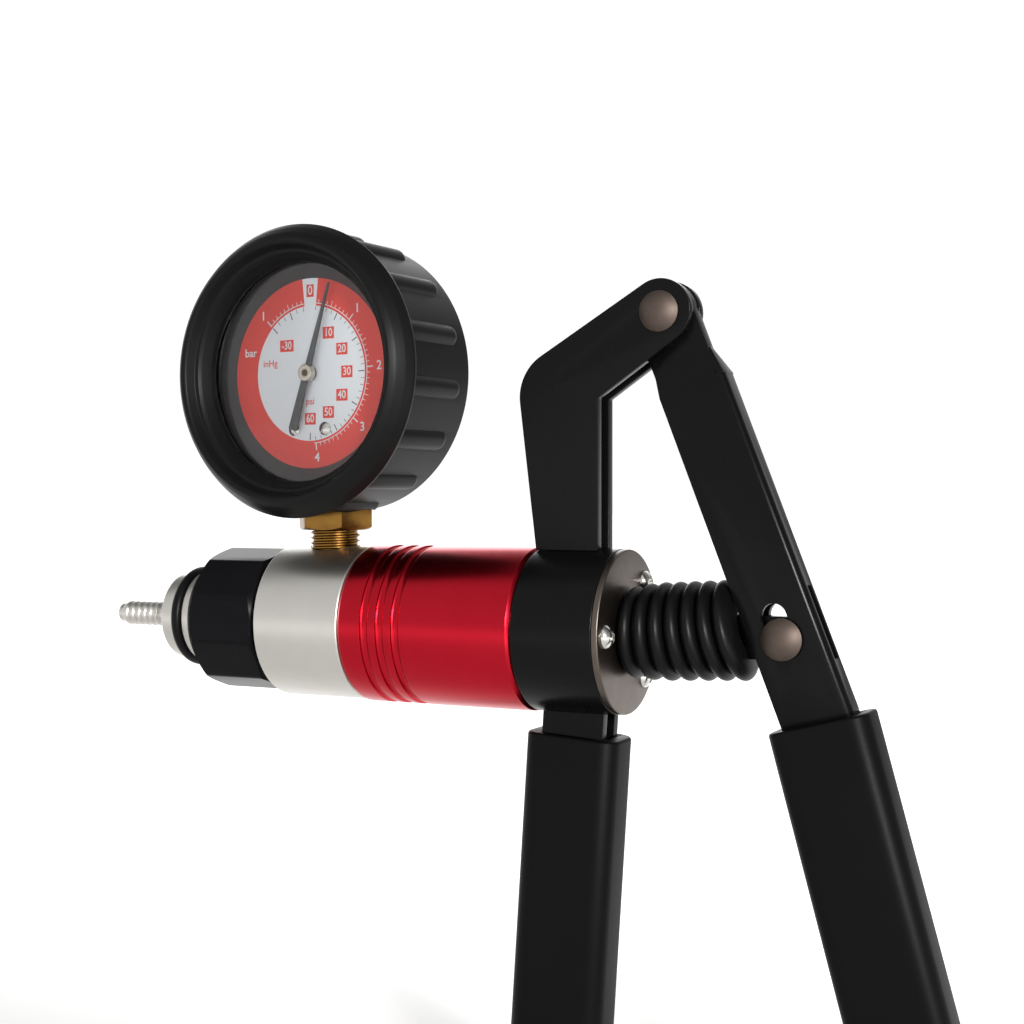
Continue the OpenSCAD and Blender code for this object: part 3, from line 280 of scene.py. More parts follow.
def cad_copy(node, name, edge, segments=2):
    """A copy of a CAD node with whole faces and rounded edges."""
    piece = twin(nodes[node], name)
    alone(piece)
    bpy.ops.mesh.customdata_custom_splitnormals_clear()
    edit(piece)
    bpy.ops.mesh.remove_doubles(threshold=1e-6)
    bpy.ops.mesh.dissolve_limited(angle_limit=math.radians(0.5))
    done()
    return soften(piece, edge, segments)


def place(piece, where):
    """Put a piece into its frame, with its place in its mesh."""
    alone(piece)
    piece.matrix_world = where @ piece.matrix_world
    bpy.ops.object.transform_apply(location=True, rotation=True, scale=True)
    return piece


def fit(piece, body, slot, finish, *stands_for, smooth=30):
    """Shade a finished piece, give it its material, tie it to its CAD body and hide the CAD nodes that it stands for.
    """
    alone(piece)
    bpy.ops.object.shade_smooth_by_angle(angle=math.radians(smooth))
    piece.data.materials.clear()
    piece.data.materials.append(finish)
    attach(piece, body)
    if stands_for:
        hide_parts(*stands_for)
    return piece


# Materials

def linear(code):
    """An sRGB hex colour as linear RGBA."""
    parts = [int(code[i:i + 2], 16) / 255 for i in (1, 3, 5)]
    return [p / 12.92 if p <= 0.04045 else ((p + 0.055) / 1.055) ** 2.4 for p in parts] + [1]


def per(mm):
    """Texture scale of a pattern with features of this size."""
    return 1 / (mm * MM)


def rings_per(mm):
    """Scale of a wave texture whose bands lie this far apart."""
    return math.tau / (20 * mm * MM)


def add(tree, kind, settings=None, links=None):
    """Add a node with its settings and links."""
    node = tree.nodes.new(kind)
    for key, value in (settings or {}).items():
        if key in node.inputs:
            node.inputs[key].default_value = value
        else:
            setattr(node, key, value)
    for key, source in (links or {}).items():
        tree.links.new(source, node.inputs[key])
    return node


def finish_of(name, **settings):
    """A new material with these values set on its shader."""
    finish = bpy.data.materials.new(name)
    finish.use_nodes = True
    shader = finish.node_tree.nodes["Principled BSDF"]
    for key, value in settings.items():
        shader.inputs[key.replace("_", " ")].default_value = value
    return finish, finish.node_tree, shader


def lathe_marks(tree, shader, spacing, depth, axis="X"):
    """Add fine turning marks round an axis to a material's relief."""
    place_on = add(tree, "ShaderNodeTexCoord").outputs["Object"]
    marks = add(tree, "ShaderNodeTexWave",
                {"bands_direction": axis, "Scale": rings_per(spacing), "Distortion": 1.5, "Detail": 2.0},
                {"Vector": place_on})
    below = shader.inputs["Normal"].links[0].from_socket
    relief = add(tree, "ShaderNodeBump", {"Strength": 0.4, "Distance": depth * MM},
                 {"Height": marks.outputs["Fac"], "Normal": below})
    tree.links.new(relief.outputs["Normal"], shader.inputs["Normal"])


def mottled(name, light, dark, cloud, grain, rough, bump, marks=None, **settings):
    """Colour that clouds between two tones, and a fine grain in roughness and height, with lathe marks if given.

    Sizes are in millimetres. The marks are their spacing, their depth and the axis that they run round.
    """
    finish, tree, shader = finish_of(name, **settings)
    place_on = add(tree, "ShaderNodeTexCoord").outputs["Object"]
    clouds = add(tree, "ShaderNodeTexNoise", {"Scale": per(cloud), "Detail": 4.0, "Roughness": 0.6},
                 {"Vector": place_on})
    fine = add(tree, "ShaderNodeTexNoise", {"Scale": per(grain), "Detail": 3.0, "Roughness": 0.65},
               {"Vector": place_on})
    tone = add(tree, "ShaderNodeMixRGB", {"Color1": linear(dark), "Color2": linear(light)},
               {"Fac": clouds.outputs["Fac"]})
    polish = add(tree, "ShaderNodeMapRange", {"To Min": rough[0], "To Max": rough[1]},
                 {"Value": fine.outputs["Fac"]})
    relief = add(tree, "ShaderNodeBump", {"Strength": 0.5, "Distance": bump * MM}, {"Height": fine.outputs["Fac"]})
    tree.links.new(tone.outputs["Color"], shader.inputs["Base Color"])
    tree.links.new(polish.outputs["Result"], shader.inputs["Roughness"])
    tree.links.new(relief.outputs["Normal"], shader.inputs["Normal"])
    if marks:
        lathe_marks(tree, shader, *marks)
    return finish


# Blasted and clear anodised aluminium: a pale, even satin that blurs all it reflects.
# Its real blast pits of 0.05 mm are too fine to show, so the grain is drawn at 0.25 mm
satin_aluminium = mottled("satin_anodised_aluminium", "#D2CFC9", "#C8C5BF", 9, 0.25, (0.3, 0.38), 0.006,
                          marks=(0.5, 0.004), Metallic=1.0)

# Turned and red anodised aluminium: deep dyed metal with a soft long reflection and faint turning marks
red_anodised = mottled("red_anodised_aluminium", "#BE1F2E", "#B01827", 12, 0.3, (0.22, 0.29), 0.004,
                       marks=(0.45, 0.004), Metallic=1.0)

# Polished and black anodised aluminium: near black with sharp bright lines along its edges
black_anodised = mottled("black_anodised_aluminium", "#0F0F11", "#09090B", 8, 0.5, (0.16, 0.22), 0.003,
                         Specular_IOR_Level=0.06)

# Gloss black enamel on steel sheet: a flowed coat with a slight orange peel of about 1.5 mm
black_enamel = mottled("gloss_black_enamel", "#0B0B0B", "#070707", 14, 1.5, (0.22, 0.3), 0.012, Specular_IOR_Level=0.11)

# Moulded black rubber: dark satin that goes grey where light grazes it, with a fine mould grain
black_rubber = mottled("moulded_black_rubber", "#0F0F0F", "#090909", 7, 0.35, (0.36, 0.44), 0.012,
                       Specular_IOR_Level=0.12)

# Moulded bellows rubber: the same rubber with a slicker skin, so its ridges carry soft streaks
bellows_rubber = mottled("slick_black_rubber", "#0B0B0B", "#070707", 5, 0.4, (0.34, 0.42), 0.008,
                         Specular_IOR_Level=0.13)

# Dipped black vinyl: smooth satin skin with a soft pebble of about 1 mm
black_vinyl = mottled("dipped_black_vinyl", "#0A0A0A", "#060606", 11, 1.0, (0.4, 0.5), 0.015, Specular_IOR_Level=0.08)

# Silicone rubber of the valves: matte brick red
valve_rubber = mottled("silicone_rubber", "#A8463A", "#97392F", 3, 0.3, (0.55, 0.65), 0.01)

# Rolled bare steel: warm grey-brown with faint rolling streaks
plain_steel = mottled("rolled_bare_steel", "#6E655E", "#564E48", 5, 0.3, (0.3, 0.42), 0.01,
                      marks=(0.8, 0.004, "Z"), Metallic=1.0)

# Bright zinc plate: clear silver with small changes of tone
zinc_plate = mottled("bright_zinc_plate", "#DEDDD8", "#C9C8C2", 2, 0.2, (0.14, 0.22), 0.003, Metallic=1.0)

# Ground and drawn steel: mid grey with fine drawing marks
spring_steel = mottled("drawn_steel", "#B4B4B2", "#A0A09E", 4, 0.2, (0.22, 0.3), 0.004, Metallic=1.0)

# Steel of the piston rod, coloured near black as painted shade for the dark slot and bellows that it sits in, so it
# only glints along its round
rod_steel_painted_dark = mottled("rod_steel_painted_dark", "#1C1B1A", "#131211", 4, 0.2, (0.3, 0.4), 0.004, Metallic=1.0)

# Dull nickel plate: warm grey rivet heads that mirror the room softly
nickel = mottled("dull_nickel_plate", "#665A53", "#534943", 3, 0.25, (0.52, 0.6), 0.004, Metallic=1.0)

# Bright nickel plate of the pointer's hub: warm silver
bright_nickel = mottled("bright_nickel_plate", "#D2C8BC", "#C2B7AA", 2, 0.2, (0.24, 0.32), 0.003, Metallic=1.0)

# Turned brass: warm yellow with darker brown clouds of handling
brass = mottled("turned_brass", "#8F6B33", "#6C4B23", 3, 0.25, (0.2, 0.3), 0.005, marks=(0.4, 0.004, "Z"), Metallic=1.0)

# Machined acetal: milky ivory plastic with a waxy satin
acetal = mottled("machined_acetal", "#DCD6C6", "#D2CBB9", 5, 0.4, (0.35, 0.45), 0.006)

# White screen printed enamel on the dial's sheet, and its red, white and dark inks
dial_white = mottled("white_dial_enamel", "#F3F6FA", "#EEF2F7", 6, 0.3, (0.45, 0.55), 0.003)
red_ink = mottled("red_screen_ink", "#F03C2D", "#EA372A", 5, 0.2, (0.5, 0.6), 0.003)
white_ink = mottled("white_screen_ink", "#EFF0F0", "#E6E8E8", 4, 0.2, (0.5, 0.6), 0.003)
dark_ink = mottled("dark_screen_ink", "#3A3838", "#302E2E", 4, 0.2, (0.5, 0.6), 0.003)

# Moulded grey plastic ring: flat dark grey
grey_plastic = mottled("moulded_grey_plastic", "#2C2C2E", "#262628", 6, 0.3, (0.5, 0.6), 0.006)

# Matte lacquer on the thin aluminium pointer
grey_lacquer = mottled("matte_grey_lacquer", "#4B4B4D", "#424244", 4, 0.3, (0.4, 0.5), 0.004)

# Clear polycarbonate: see-through, with a reflection that grows where it is seen edge-on
clear_window = bpy.data.materials.new("clear_polycarbonate")
clear_window.use_nodes = True
tree = clear_window.node_tree
tree.nodes.remove(tree.nodes["Principled BSDF"])
edge_on = add(tree, "ShaderNodeFresnel", {"IOR": 1.3})
through = add(tree, "ShaderNodeBsdfTransparent", {"Color": linear("#FAFBFB")})
gloss = add(tree, "ShaderNodeBsdfGlossy", {"Color": linear("#FFFFFF"), "Roughness": 0.06})
both = add(tree, "ShaderNodeMixShader")
tree.links.new(edge_on.outputs["Fac"], both.inputs[0])
tree.links.new(through.outputs["BSDF"], both.inputs[1])
tree.links.new(gloss.outputs["BSDF"], both.inputs[2])
tree.links.new(both.outputs["Shader"], tree.nodes["Material Output"].inputs["Surface"])


# Nozzle plug with its soft hose ridges, and the O-ring on it

def hose_ridges(first, pitch, count, root, crest):
    """Profile of soft ridges that hold a hose, each with a long slope towards the tip."""
    points = []
    for i in range(count):
        x = first + i * pitch
        points += [(x, root, 0.3), (x + 0.62 * pitch, crest, 0.9), (x + 0.9 * pitch, crest - 0.05, 0.5)]
    return points


plug_profile = eased(
    [(0.9, 1.5, 0.2), (0.9, 2.5, 0.5), (2.5, 2.6, 0.3)]
    + hose_ridges(2.6, 2.05, 9, 2.7, 3.3)
    + [
        (21.2, 2.6, 0.3), (22.4, 2.6, 0.4), (22.4, 11.4, 1.1), (26.8, 11.4, 0.4), (26.8, 10.2, 0.2),
        (30.0, 10.2, 0.2), (30.0, 12.3, 0.4), (36.0, 12.3, 0.4), (36.0, 8.0, 0.3), (68.05, 8.0, 0.1),
        (68.05, 7.2, 0.1), (69.25, 7.2, 0.1), (69.25, 8.0, 0.1), (69.45, 8.0, 0.05), (69.45, 1.5, 0.2),
    ],
    closed=True,
)
plug = place(turned("hose_plug", plug_profile, 96, bored=True), PUMP)
fit(plug, "selector", "satin_aluminium", satin_aluminium, "nozzle_plug")

bpy.ops.object.select_all(action="DESELECT")
bpy.ops.mesh.primitive_torus_add(major_segments=96, minor_segments=24, major_radius=11.75 * MM, minor_radius=1.55 * MM)
ring = bpy.context.object
ring.name = "plug_seal_ring"
edit(ring, "VERT", lambda p, n: abs(p.z) > 1.1)
bpy.ops.transform.resize(value=(1, 1, 0.97), center_override=(0, 0, 0))
done()
place(ring, PUMP @ shift(0, 0, 28.4))
fit(ring, "selector", "black_rubber", bellows_rubber, "plug_o_ring", smooth=60)


# Coupling nut: ten flats with rounded edges, chamfered ends and a ring behind

FLATS, NUT_R, NUT_TURN = 10, 18.7, 16
bpy.ops.object.select_all(action="DESELECT")
bpy.ops.mesh.primitive_cylinder_add(vertices=FLATS, radius=NUT_R * MM, depth=27 * MM, location=(0, 0, 44.5 * MM))
nut = bpy.context.object
nut.name = "black_nut"
place(nut, twist(NUT_TURN, "Z"))
edit(nut, "EDGE", lambda p, d: abs(d.z) > 0.9)
bpy.ops.mesh.bevel(offset=0.6 * MM, segments=3, affect="EDGES")
done()
nut_ends = turned("nut_ends", eased([
    (34.5, 15.3, 0.4), (38.4, 19.2, 1.2), (54.4, 19.2, 1.2), (56.3, 17.3, 0.3)]), 144)
cut(nut, nut_ends, "INTERSECT")
nut_ring = turned("nut_ring", eased([(50.0, 16.5), (58.05, 16.5, 0.5), (58.05, 12.0)]), 96)
cut(nut, nut_ring, "UNION")
nut_bore = turned("nut_bore", [(30.0, 13.7), (41.8, 13.7), (41.8, 14.05), (60.0, 14.05)], 96)
cut(nut, nut_bore)
place(nut, PUMP)
fit(nut, "pump_body", "black_anodised", black_anodised, "coupling_nut")


# Valve head, barrel, collar and end washer, all turned

head_profile = eased([
    (42.2, 8.05, 0.2), (42.2, 14.0, 0.5), (58.1, 14.0, 0.1), (58.1, 19.6, 0.6), (83.0, 19.6, 0.6), (83.0, 16.45, 0.1),
    (77.95, 16.45, 0.1), (77.95, 10.5, 0.1), (67.85, 10.5, 0.1), (67.85, 8.05, 0.1)], closed=True)
head = place(turned("silver_head", head_profile, 128, bored=True), PUMP)
stem_port = place(turned("stem_port", [(11.7, 6.45), (26.0, 6.45)], 64), shift(GAUGE_AT[0], 0, 0))
cut(head, stem_port)
fit(head, "pump_body", "satin_aluminium", satin_aluminium, "valve_head")


def grooved(first, pitch, count, radius, half_width, depth):
    """Concave turned grooves: points of a hollow arc for each, with its lips broken."""
    points = []
    for i in range(count):
        middle = first + i * pitch
        points.append((middle - half_width - 0.15, radius, 0.25))
        for k in range(7):
            a = math.pi * (k / 6)
            points.append((middle - half_width * math.cos(a), radius - 0.06 - (depth - 0.06) * math.sin(a)))
        points.append((middle + half_width + 0.15, radius, 0.25))
    return points


barrel_profile = eased(
    [(80.95, 14.0, 0.2), (80.95, 16.4, 0.3), (83.05, 16.4, 0.1), (83.05, 19.15, 0.2), (83.9, 20.0, 0.4)]
    + grooved(91.0, 4.35, 3, 20.0, 1.15, 0.9)
    + [(129.5, 20.0, 0.4), (130.35, 19.1, 0.2), (130.35, 17.4, 0.1), (141.8, 17.4, 0.3), (141.8, 14.0, 0.2)],
    closed=True,
)
barrel = place(turned("red_barrel", barrel_profile, 144, bored=True), PUMP)
fit(barrel, "pump_body", "red_anodised", red_anodised, "barrel")

collar_profile = eased([
    (130.4, 17.45, 0.2), (130.4, 19.8, 0.7), (151.2, 19.8, 0.4), (151.2, 9.05, 0.2), (142.0, 9.05, 0.1),
    (142.0, 17.45, 0.1)], closed=True)
collar = place(turned("black_collar", collar_profile, 128, bored=True), PUMP)
fit(collar, "pump_body", "black_paint", black_enamel, "mount_collar")

washer_profile = eased([
    (151.2, 7.95, 0.1), (151.2, 19.7, 0.25), (152.8, 19.7, 0.4), (152.8, 7.95, 0.2)], closed=True)
washer = place(turned("steel_washer", washer_profile, 128, bored=True), PUMP)
fit(washer, "pump_body", "plain_steel", plain_steel, "end_washer")


# Pan head screws with a cross recess

def dome(radius, height, base=0.0, steps=8, lip=0.3):
    """Profile of a domed head that stands on a short upright edge."""
    rise = height - lip
    sphere = (radius * radius + rise * rise) / (2 * rise)
    whole = math.asin(min(1, radius / sphere))
    points = [(base, radius), (base + lip, radius)]
    for k in range(1, steps):
        a = whole * (1 - k / steps)
        points.append((base + height - sphere + sphere * math.cos(a), sphere * math.sin(a)))
    points.append((base + height - 0.001, 0.04))
    return points


def cross_screw(name, radius, height, shank, length):
    """A pan head screw that stands on the plane z = 0."""
    screw = turned(name, [(-length, shank - 0.4), (-length + 0.4, shank), (0.0, shank)] + dome(radius, height), 48)
    for low, high in (((-1.55, -0.42, height - 1.1), (1.55, 0.42, height + 1)),
                      ((-0.42, -1.55, height - 1.1), (0.42, 1.55, height + 1))):
        cut(screw, soften(block("recess", low, high), 0.12))
    return soften(screw, 0.1, 2, 40)


SCREW_ANGLES, SCREW_CIRCLE, RECESS_TURN = (0, 130, 230), 15, 25
screws = []
for angle in SCREW_ANGLES:
    screw = cross_screw("washer_screw", 2.8, 2.2, 1.5, 6.4)
    screws.append(place(screw, shift(END_X, 0, 0) @ twist(90, "Y") @ twist(angle - 90, "Z")
                        @ shift(SCREW_CIRCLE, 0, 0) @ twist(RECESS_TURN, "Z")))
fit(joined("washer_screw_set", *screws), "pump_body", "zinc_plate", zinc_plate, "washer_screws")


# Bellows: seven ridges that fan out towards the sloping handle

BELLOWS_FROM, BELLOWS_TO, BELLOWS_WALL = 153.0, 181.2, 1.3
BELLOWS_LEAN = 0.68 * math.tan(math.radians(HANDLE_ANGLE))
BELLOWS_LIFT = 1.5
RIDGES, RIDGE_R, VALLEY, RIDGE_STEPS = 7, 11.6, 2.5, 12
SMALLER = {0: 0.8, 1: 0.2}
ridge_pitch = (BELLOWS_TO - BELLOWS_FROM) / RIDGES


def ridge_radius(x):
    """Radius of the bellows' skin: round ridges, the first two a little smaller."""
    part = (x - BELLOWS_FROM) / ridge_pitch
    i = min(RIDGES - 1, int(part))
    crest = RIDGE_R - SMALLER.get(i, 0)
    return crest - VALLEY * (1 - math.sin(math.pi * min(1, max(0, part - i))) ** 0.62)


skin_steps = RIDGE_STEPS * RIDGES
stations = [BELLOWS_FROM + (BELLOWS_TO - BELLOWS_FROM) * k / skin_steps for k in range(skin_steps + 1)]
skin = [(x, ridge_radius(min(x, BELLOWS_TO - 1e-6))) for x in stations]
bellows_profile = (
    [(150.25, 9.0), (151.1, 9.0), (151.1, 7.9), (152.9, 7.9)] + skin
    + [(BELLOWS_TO + 0.1, 4.3), (BELLOWS_TO - 1.0, 4.3)]
    + [(x, r - BELLOWS_WALL) for x, r in reversed(skin[:-4])]
    + [(152.9, 6.6), (150.25, 6.6)]
)
bellows = place(turned("rubber_bellows", bellows_profile, 64, bored=True), PUMP)
for point in bellows.data.vertices:
    along = (point.co.x / MM - BELLOWS_FROM) / (BELLOWS_TO - BELLOWS_FROM)
    point.co.x -= BELLOWS_LEAN * max(0, along) * point.co.z
    point.co.z += BELLOWS_LIFT * MM * max(0, along)
fit(bellows, "pump_body", "black_rubber", bellows_rubber, "bellows", smooth=60)
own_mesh(bellows)


# Return spring on the rod, hidden in the bellows

TURNS, WIRE_R, COIL_R = 7, 0.55, 5.5
low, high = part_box("return_spring")
SPRING_FROM, SPRING_TO = low.x / MM + WIRE_R, high.x / MM - WIRE_R
bpy.ops.object.select_all(action="DESELECT")
bpy.ops.mesh.primitive_circle_add(vertices=12, radius=WIRE_R * MM, fill_type="NGON")
spring = bpy.context.object
spring.name = "return_coil"
place(spring, shift(COIL_R, 0, SPRING_FROM) @ twist(90, "X"))
modified(spring, "SCREW", axis="Z", angle=math.tau, screw_offset=(SPRING_TO - SPRING_FROM) / TURNS * MM,
         iterations=TURNS, steps=28, render_steps=28, use_merge_vertices=False)
edit(spring)
bpy.ops.mesh.remove_doubles(threshold=1e-7)
bpy.ops.mesh.fill_holes(sides=0)
done()
place(outwards(spring), PUMP)
fit(spring, "pump_body", "spring_steel", spring_steel, "return_spring", smooth=60)
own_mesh(spring)


# Rivet and rod pin with domed heads

def headed_pin(name, half, shank, radius, height):
    """A pin with a domed head at each end, its shank as long as twice the half."""
    top = dome(radius, height, half, 9, 0.35)
    bottom = [(-z, r) for z, r in reversed(top)]
    return turned(name, bottom + [(-half, shank), (half, shank)] + top, 64)


rivet = place(headed_pin("pivot_rivet_domed", 4.8, 3.0, 4.8, 2.2), PIVOT_PIN)
fit(rivet, "pump_body", "nickel_rivet", nickel, "pivot_rivet")
pin = place(headed_pin("rod_pin_domed", 4.65, 2.6, 4.8, 2.2), ROD_PIN)
fit(pin, "rod", "nickel_rivet", nickel, "rod_pin")


# Pressed steel frame and handle, with the edges of the sheet rounded

for node, name in (("frame_arm", "pressed_arm"), ("frame_tang", "pressed_tang")):
    fit(cad_copy(node, name, 0.45, 3), "pump_body", "black_paint", black_enamel, node)

# The handle's back runs out in a taper below the pinched top
web_taper = block("web_taper", (7.15, -4.2, -19.3), (9.2, 4.2, -11.5))
edit(web_taper, "VERT", lambda p, n: p.z > -12)
bpy.ops.transform.resize(value=(1, 0.25, 1), center_override=(0, 0, 0))
bpy.ops.transform.translate(value=(-1.9 * MM, 0, 0))
done()
place(soften(web_taper, 0.45, 3), HANDLE)
handle = joined("pressed_handle", cad_copy("moving_handle", "pressed_handle", 0.45, 3), web_taper)
fit(handle, "handle", "black_paint", black_enamel, "moving_handle")


# Vinyl grips: hollow sleeves with a soft rim and a rounded closed end

GRIP_W, GRIP_D, GRIP_END = 23.8, 15.0, 6


def grip(name, length, pocket_w, pocket_d):
    """A sleeve that hangs from the plane z = 0, with a pocket for the steel inside."""
    sleeve = block(name, (-GRIP_W / 2, -GRIP_D / 2, -length), (GRIP_W / 2, GRIP_D / 2, 0))
    edit(sleeve, "EDGE", lambda p, d: abs(d.z) > 0.9)
    bpy.ops.mesh.bevel(offset=4.5 * MM, segments=8, affect="EDGES")
    done()
    edit(sleeve, "FACE", lambda p, n: n.z < -0.9)
    bpy.ops.mesh.bevel(offset=3.2 * MM, segments=6, affect="EDGES")
    done()
    pocket = block("pocket", (-pocket_w / 2, -pocket_d / 2, GRIP_END - length), (pocket_w / 2, pocket_d / 2, 1))
    cut(sleeve, pocket)
    edit(sleeve, "EDGE", lambda p, d: p.z > -0.01)
    bpy.ops.mesh.bevel(offset=0.7 * MM, segments=3, affect="EDGES")
    done()
    return sleeve


moving_grip = place(grip("handle_grip", 108, 16.8, 8.7), MOVING_GRIP)
fit(moving_grip, "handle", "black_vinyl", black_vinyl, "moving_grip")
fixed_grip = place(grip("frame_grip", 97.2, 15.9, 9.7), FIXED_GRIP)
fit(fixed_grip, "pump_body", "black_vinyl", black_vinyl, "fixed_grip")


# Gauge boot: a rolled front rim, a moulded side with sixteen rounded bars and a lip that holds the case

BARS, FIRST_BAR = 16, 15
BAR_R, BAR_FROM, BAR_TO, BAR_CIRCLE = 3.1, -2.6, 16.6, 33.4
boot_profile = eased([
    (-10.2, 20.0, 0.5), (-10.2, 35.0, 0.8), (15.7, 35.0, 0.25), (15.8, 36.5, 0.35), (17.2, 37.0, 0.9),
    (19.4, 35.75, 2.5), (21.5, 34.2, 2.5), (22.8, 32.6, 1.2), (22.2, 31.5, 1.0), (19.9, 30.4, 0.5), (19.7, 29.6, 0.4),
    (18.9, 29.0, 0.4), (16.6, 27.75, 0.5), (15.1, 27.5, 0.25), (15.05, 29.3, 0.2), (-5.65, 29.3, 0.2),
    (-5.65, 20.0, 0.4)],
    closed=True, step=12)
boot = turned("rubber_boot", boot_profile, 160, bored=True)
bars = []
for i in range(BARS):
    tip = [(BAR_FROM - BAR_R * math.cos(math.radians(a)), BAR_R * math.sin(math.radians(a))) for a in range(2, 91, 11)]
    bar = turned("boot_bar", tip + [(BAR_FROM, BAR_R), (BAR_TO, BAR_R)], 40)
    bars.append(place(bar, twist(FIRST_BAR + i * 360 / BARS, "Z") @ shift(BAR_CIRCLE, 0, 0)))
cut(boot, joined("boot_bars", *bars), "UNION")
stem_gap = place(turned("stem_gap", [(0.0, 10.65), (22.0, 10.65)], 48), shift(0, -27.2, 0) @ twist(90, "X"))
cut(boot, stem_gap)
place(boot, GAUGE)
fit(boot, "pump_body", "black_rubber", black_rubber, "gauge_boot", smooth=35)


# Brass stem: hexagon, helical pipe thread and the block inside the case

HEX_FLATS, HEX_H, HEX_TURN, THREAD_PITCH = 17.4, 10.75, -14, 1.337
bpy.ops.object.select_all(action="DESELECT")
bpy.ops.mesh.primitive_cylinder_add(vertices=6, radius=HEX_FLATS / math.sqrt(3) * MM, depth=HEX_H * MM)
hexagon = bpy.context.object
place(hexagon, shift(0, 0, HEX_H / 2) @ twist(HEX_TURN, "Z"))
cut(hexagon, turned("hexagon_cone", [(-0.1, 8.5), (0.9, 10.3), (10.85, 10.3)], 96), "INTERSECT")
soften(hexagon, 0.2, 2, 25)
place(hexagon, shift(0, 0, 23.7))
neck = turned("stem_neck", [(23.5, 4.6), (38.5, 4.6)], 48)
inner_block = soften(block("stem_block", (-6.0, -3.2, 37.5), (6.0, 3.2, 48.1)), 0.3)
core = turned("thread_core", [(12.1, 5.2), (12.7, 5.75), (23.8, 5.75)], 64)
bpy.ops.object.select_all(action="DESELECT")
bpy.ops.mesh.primitive_plane_add(size=MM)
tooth = bpy.context.object
tooth.name = "thread_ridge"
edit(tooth, "VERT", lambda p, n: p.x > 0)
bpy.ops.transform.resize(value=(1, 0.22, 1), center_override=(0, 0, 0))
done()
edit(tooth)
bpy.ops.transform.resize(value=(0.85, 1.24, 1), center_override=(0, 0, 0))
done()
place(tooth, shift(5.97, 0, 12.8) @ twist(90, "X"))
modified(tooth, "SCREW", axis="Z", angle=math.tau, screw_offset=THREAD_PITCH * MM, iterations=8, steps=40,
         render_steps=40, use_merge_vertices=False)
edit(tooth)
bpy.ops.mesh.remove_doubles(threshold=1e-7)
bpy.ops.mesh.fill_holes(sides=0)
done()
outwards(tooth)
stem = joined("brass_stem", hexagon, neck, inner_block, core, tooth)
place(stem, shift(GAUGE_AT[0], 0, 0) @ twist(-5, "Z"))
fit(stem, "pump_body", "brass", brass, "gauge_stem")


# Dial: white sheet, red scale ring with a white zero mark, ticks and figures

DIAL = 10.5
INK = 0.03
RED_IN, RED_OUT = 17.2, 24.3
BAR_STEP, VACUUM_STEP = 4.35, 4.5
READING = 17.3


def arc_strip(name, inner, outer, low, high, start, end):
    """A thin strip round the dial between two angles, clockwise from the top."""
    steps_round = max(6, int(abs(end - start) / 2))
    outline = []
    for r, order in ((outer, range(steps_round + 1)), (inner, range(steps_round, -1, -1))):
        for k in order:
            a = math.radians(start + (end - start) * k / steps_round)
            outline.append((r * math.sin(a), r * math.cos(a)))
    strip = outlined(name, outline, high - low)
    return place(strip, shift(0, 0, low))


def tick(angle, inner, outer, width, low):
    """A short mark at an angle, clockwise from the top."""
    mark = block("tick", (-width / 2, inner, low), (width / 2, outer, low + INK))
    return place(mark, twist(-angle, "Z"))


def words(text, x, y, size, low, weight=0.014, squeeze=1.0):
    """Plain figures or units, as thin raised ink."""
    bpy.ops.object.select_all(action="DESELECT")
    bpy.ops.object.text_add()
    label = bpy.context.object
    label.data.body = text
    label.data.align_x = "CENTER"
    label.data.align_y = "CENTER"
    label.data.offset = weight
    label.data.extrude = 0.5 * INK / size
    label.data.resolution_u = 3
    bpy.ops.object.convert(target="MESH")
    label = bpy.context.object
    label.scale = (size * squeeze * MM, size * MM, size * MM)
    label.location = (x * MM, y * MM, (low + INK / 2) * MM)
    bpy.ops.object.transform_apply(location=True, rotation=True, scale=True)
    return label


def around(angle, radius):
    """A place on the dial, at an angle clockwise from the top."""
    a = math.radians(angle)
    return radius * math.sin(a), radius * math.cos(a)


sheet = turned("dial_sheet", eased([(9.9, 2.0), (9.9, 28.3, 0.1), (10.5, 28.3, 0.1), (10.5, 2.0)]), 128, bored=True)
fit(place(sheet, GAUGE), "pump_body", "printed_dial", dial_white, "gauge_dial")

red_parts = [arc_strip("red_ring", RED_IN, RED_OUT, DIAL, DIAL + INK, 6, 354)]
white_parts = [arc_strip("scale_line", 17.75, 17.95, DIAL + INK, DIAL + 2 * INK, -46, 176)]
dark_parts = []
for i in range(-10, 41):
    angle = i * (VACUUM_STEP if i < 0 else BAR_STEP)
    if i % 10:
        white_parts.append(tick(angle, 17.9, 18.8 if i % 5 else 19.3, 0.16, DIAL + INK))
    elif i:
        white_parts.append(tick(angle, 17.9, 19.7, 0.32, DIAL + INK))
        x, y = around(angle, 21.6)
        white_parts.append(words(str(abs(i // 10)), x, y, 3.2, DIAL + INK))
for i in range(1, 31):
    inner, width = (16.1, 0.14) if i % 5 else (15.2, 0.26)
    dark_parts.append(tick(i * 6, inner, 17.0, width, DIAL))
for i in range(1, 7):
    inner, width = (15.9, 0.14) if i % 3 else (15.0, 0.26)
    dark_parts.append(tick(i * -7.5, inner, 17.0, width, DIAL))
boxed = [(str(i * 10), *around(i * 30, 11.6), 1.75, 1.5, 2.9, 0.88) for i in range(1, 7)]
boxed += [("-30", -7.6, 7.3, 2.2, 1.5, 2.9, 0.85), ("0", 0, 21.0, 1.15, 1.6, 3.3, 0.9)]
for text, x, y, half_w, half_h, size, squeeze in boxed:
    red_parts.append(block("box", (x - half_w, y - half_h, DIAL), (x + half_w, y + half_h, DIAL + INK)))
    white_parts.append(words(text, x, y, size, DIAL + INK, squeeze=squeeze))
white_parts.append(words("bar", -19.5, 5.9, 3.0, DIAL + INK))
red_parts.append(words("inHg", -13.0, 2.9, 2.5, DIAL, weight=0.008))
red_parts.append(words("psi", 0, -7.2, 2.5, DIAL, weight=0.008))
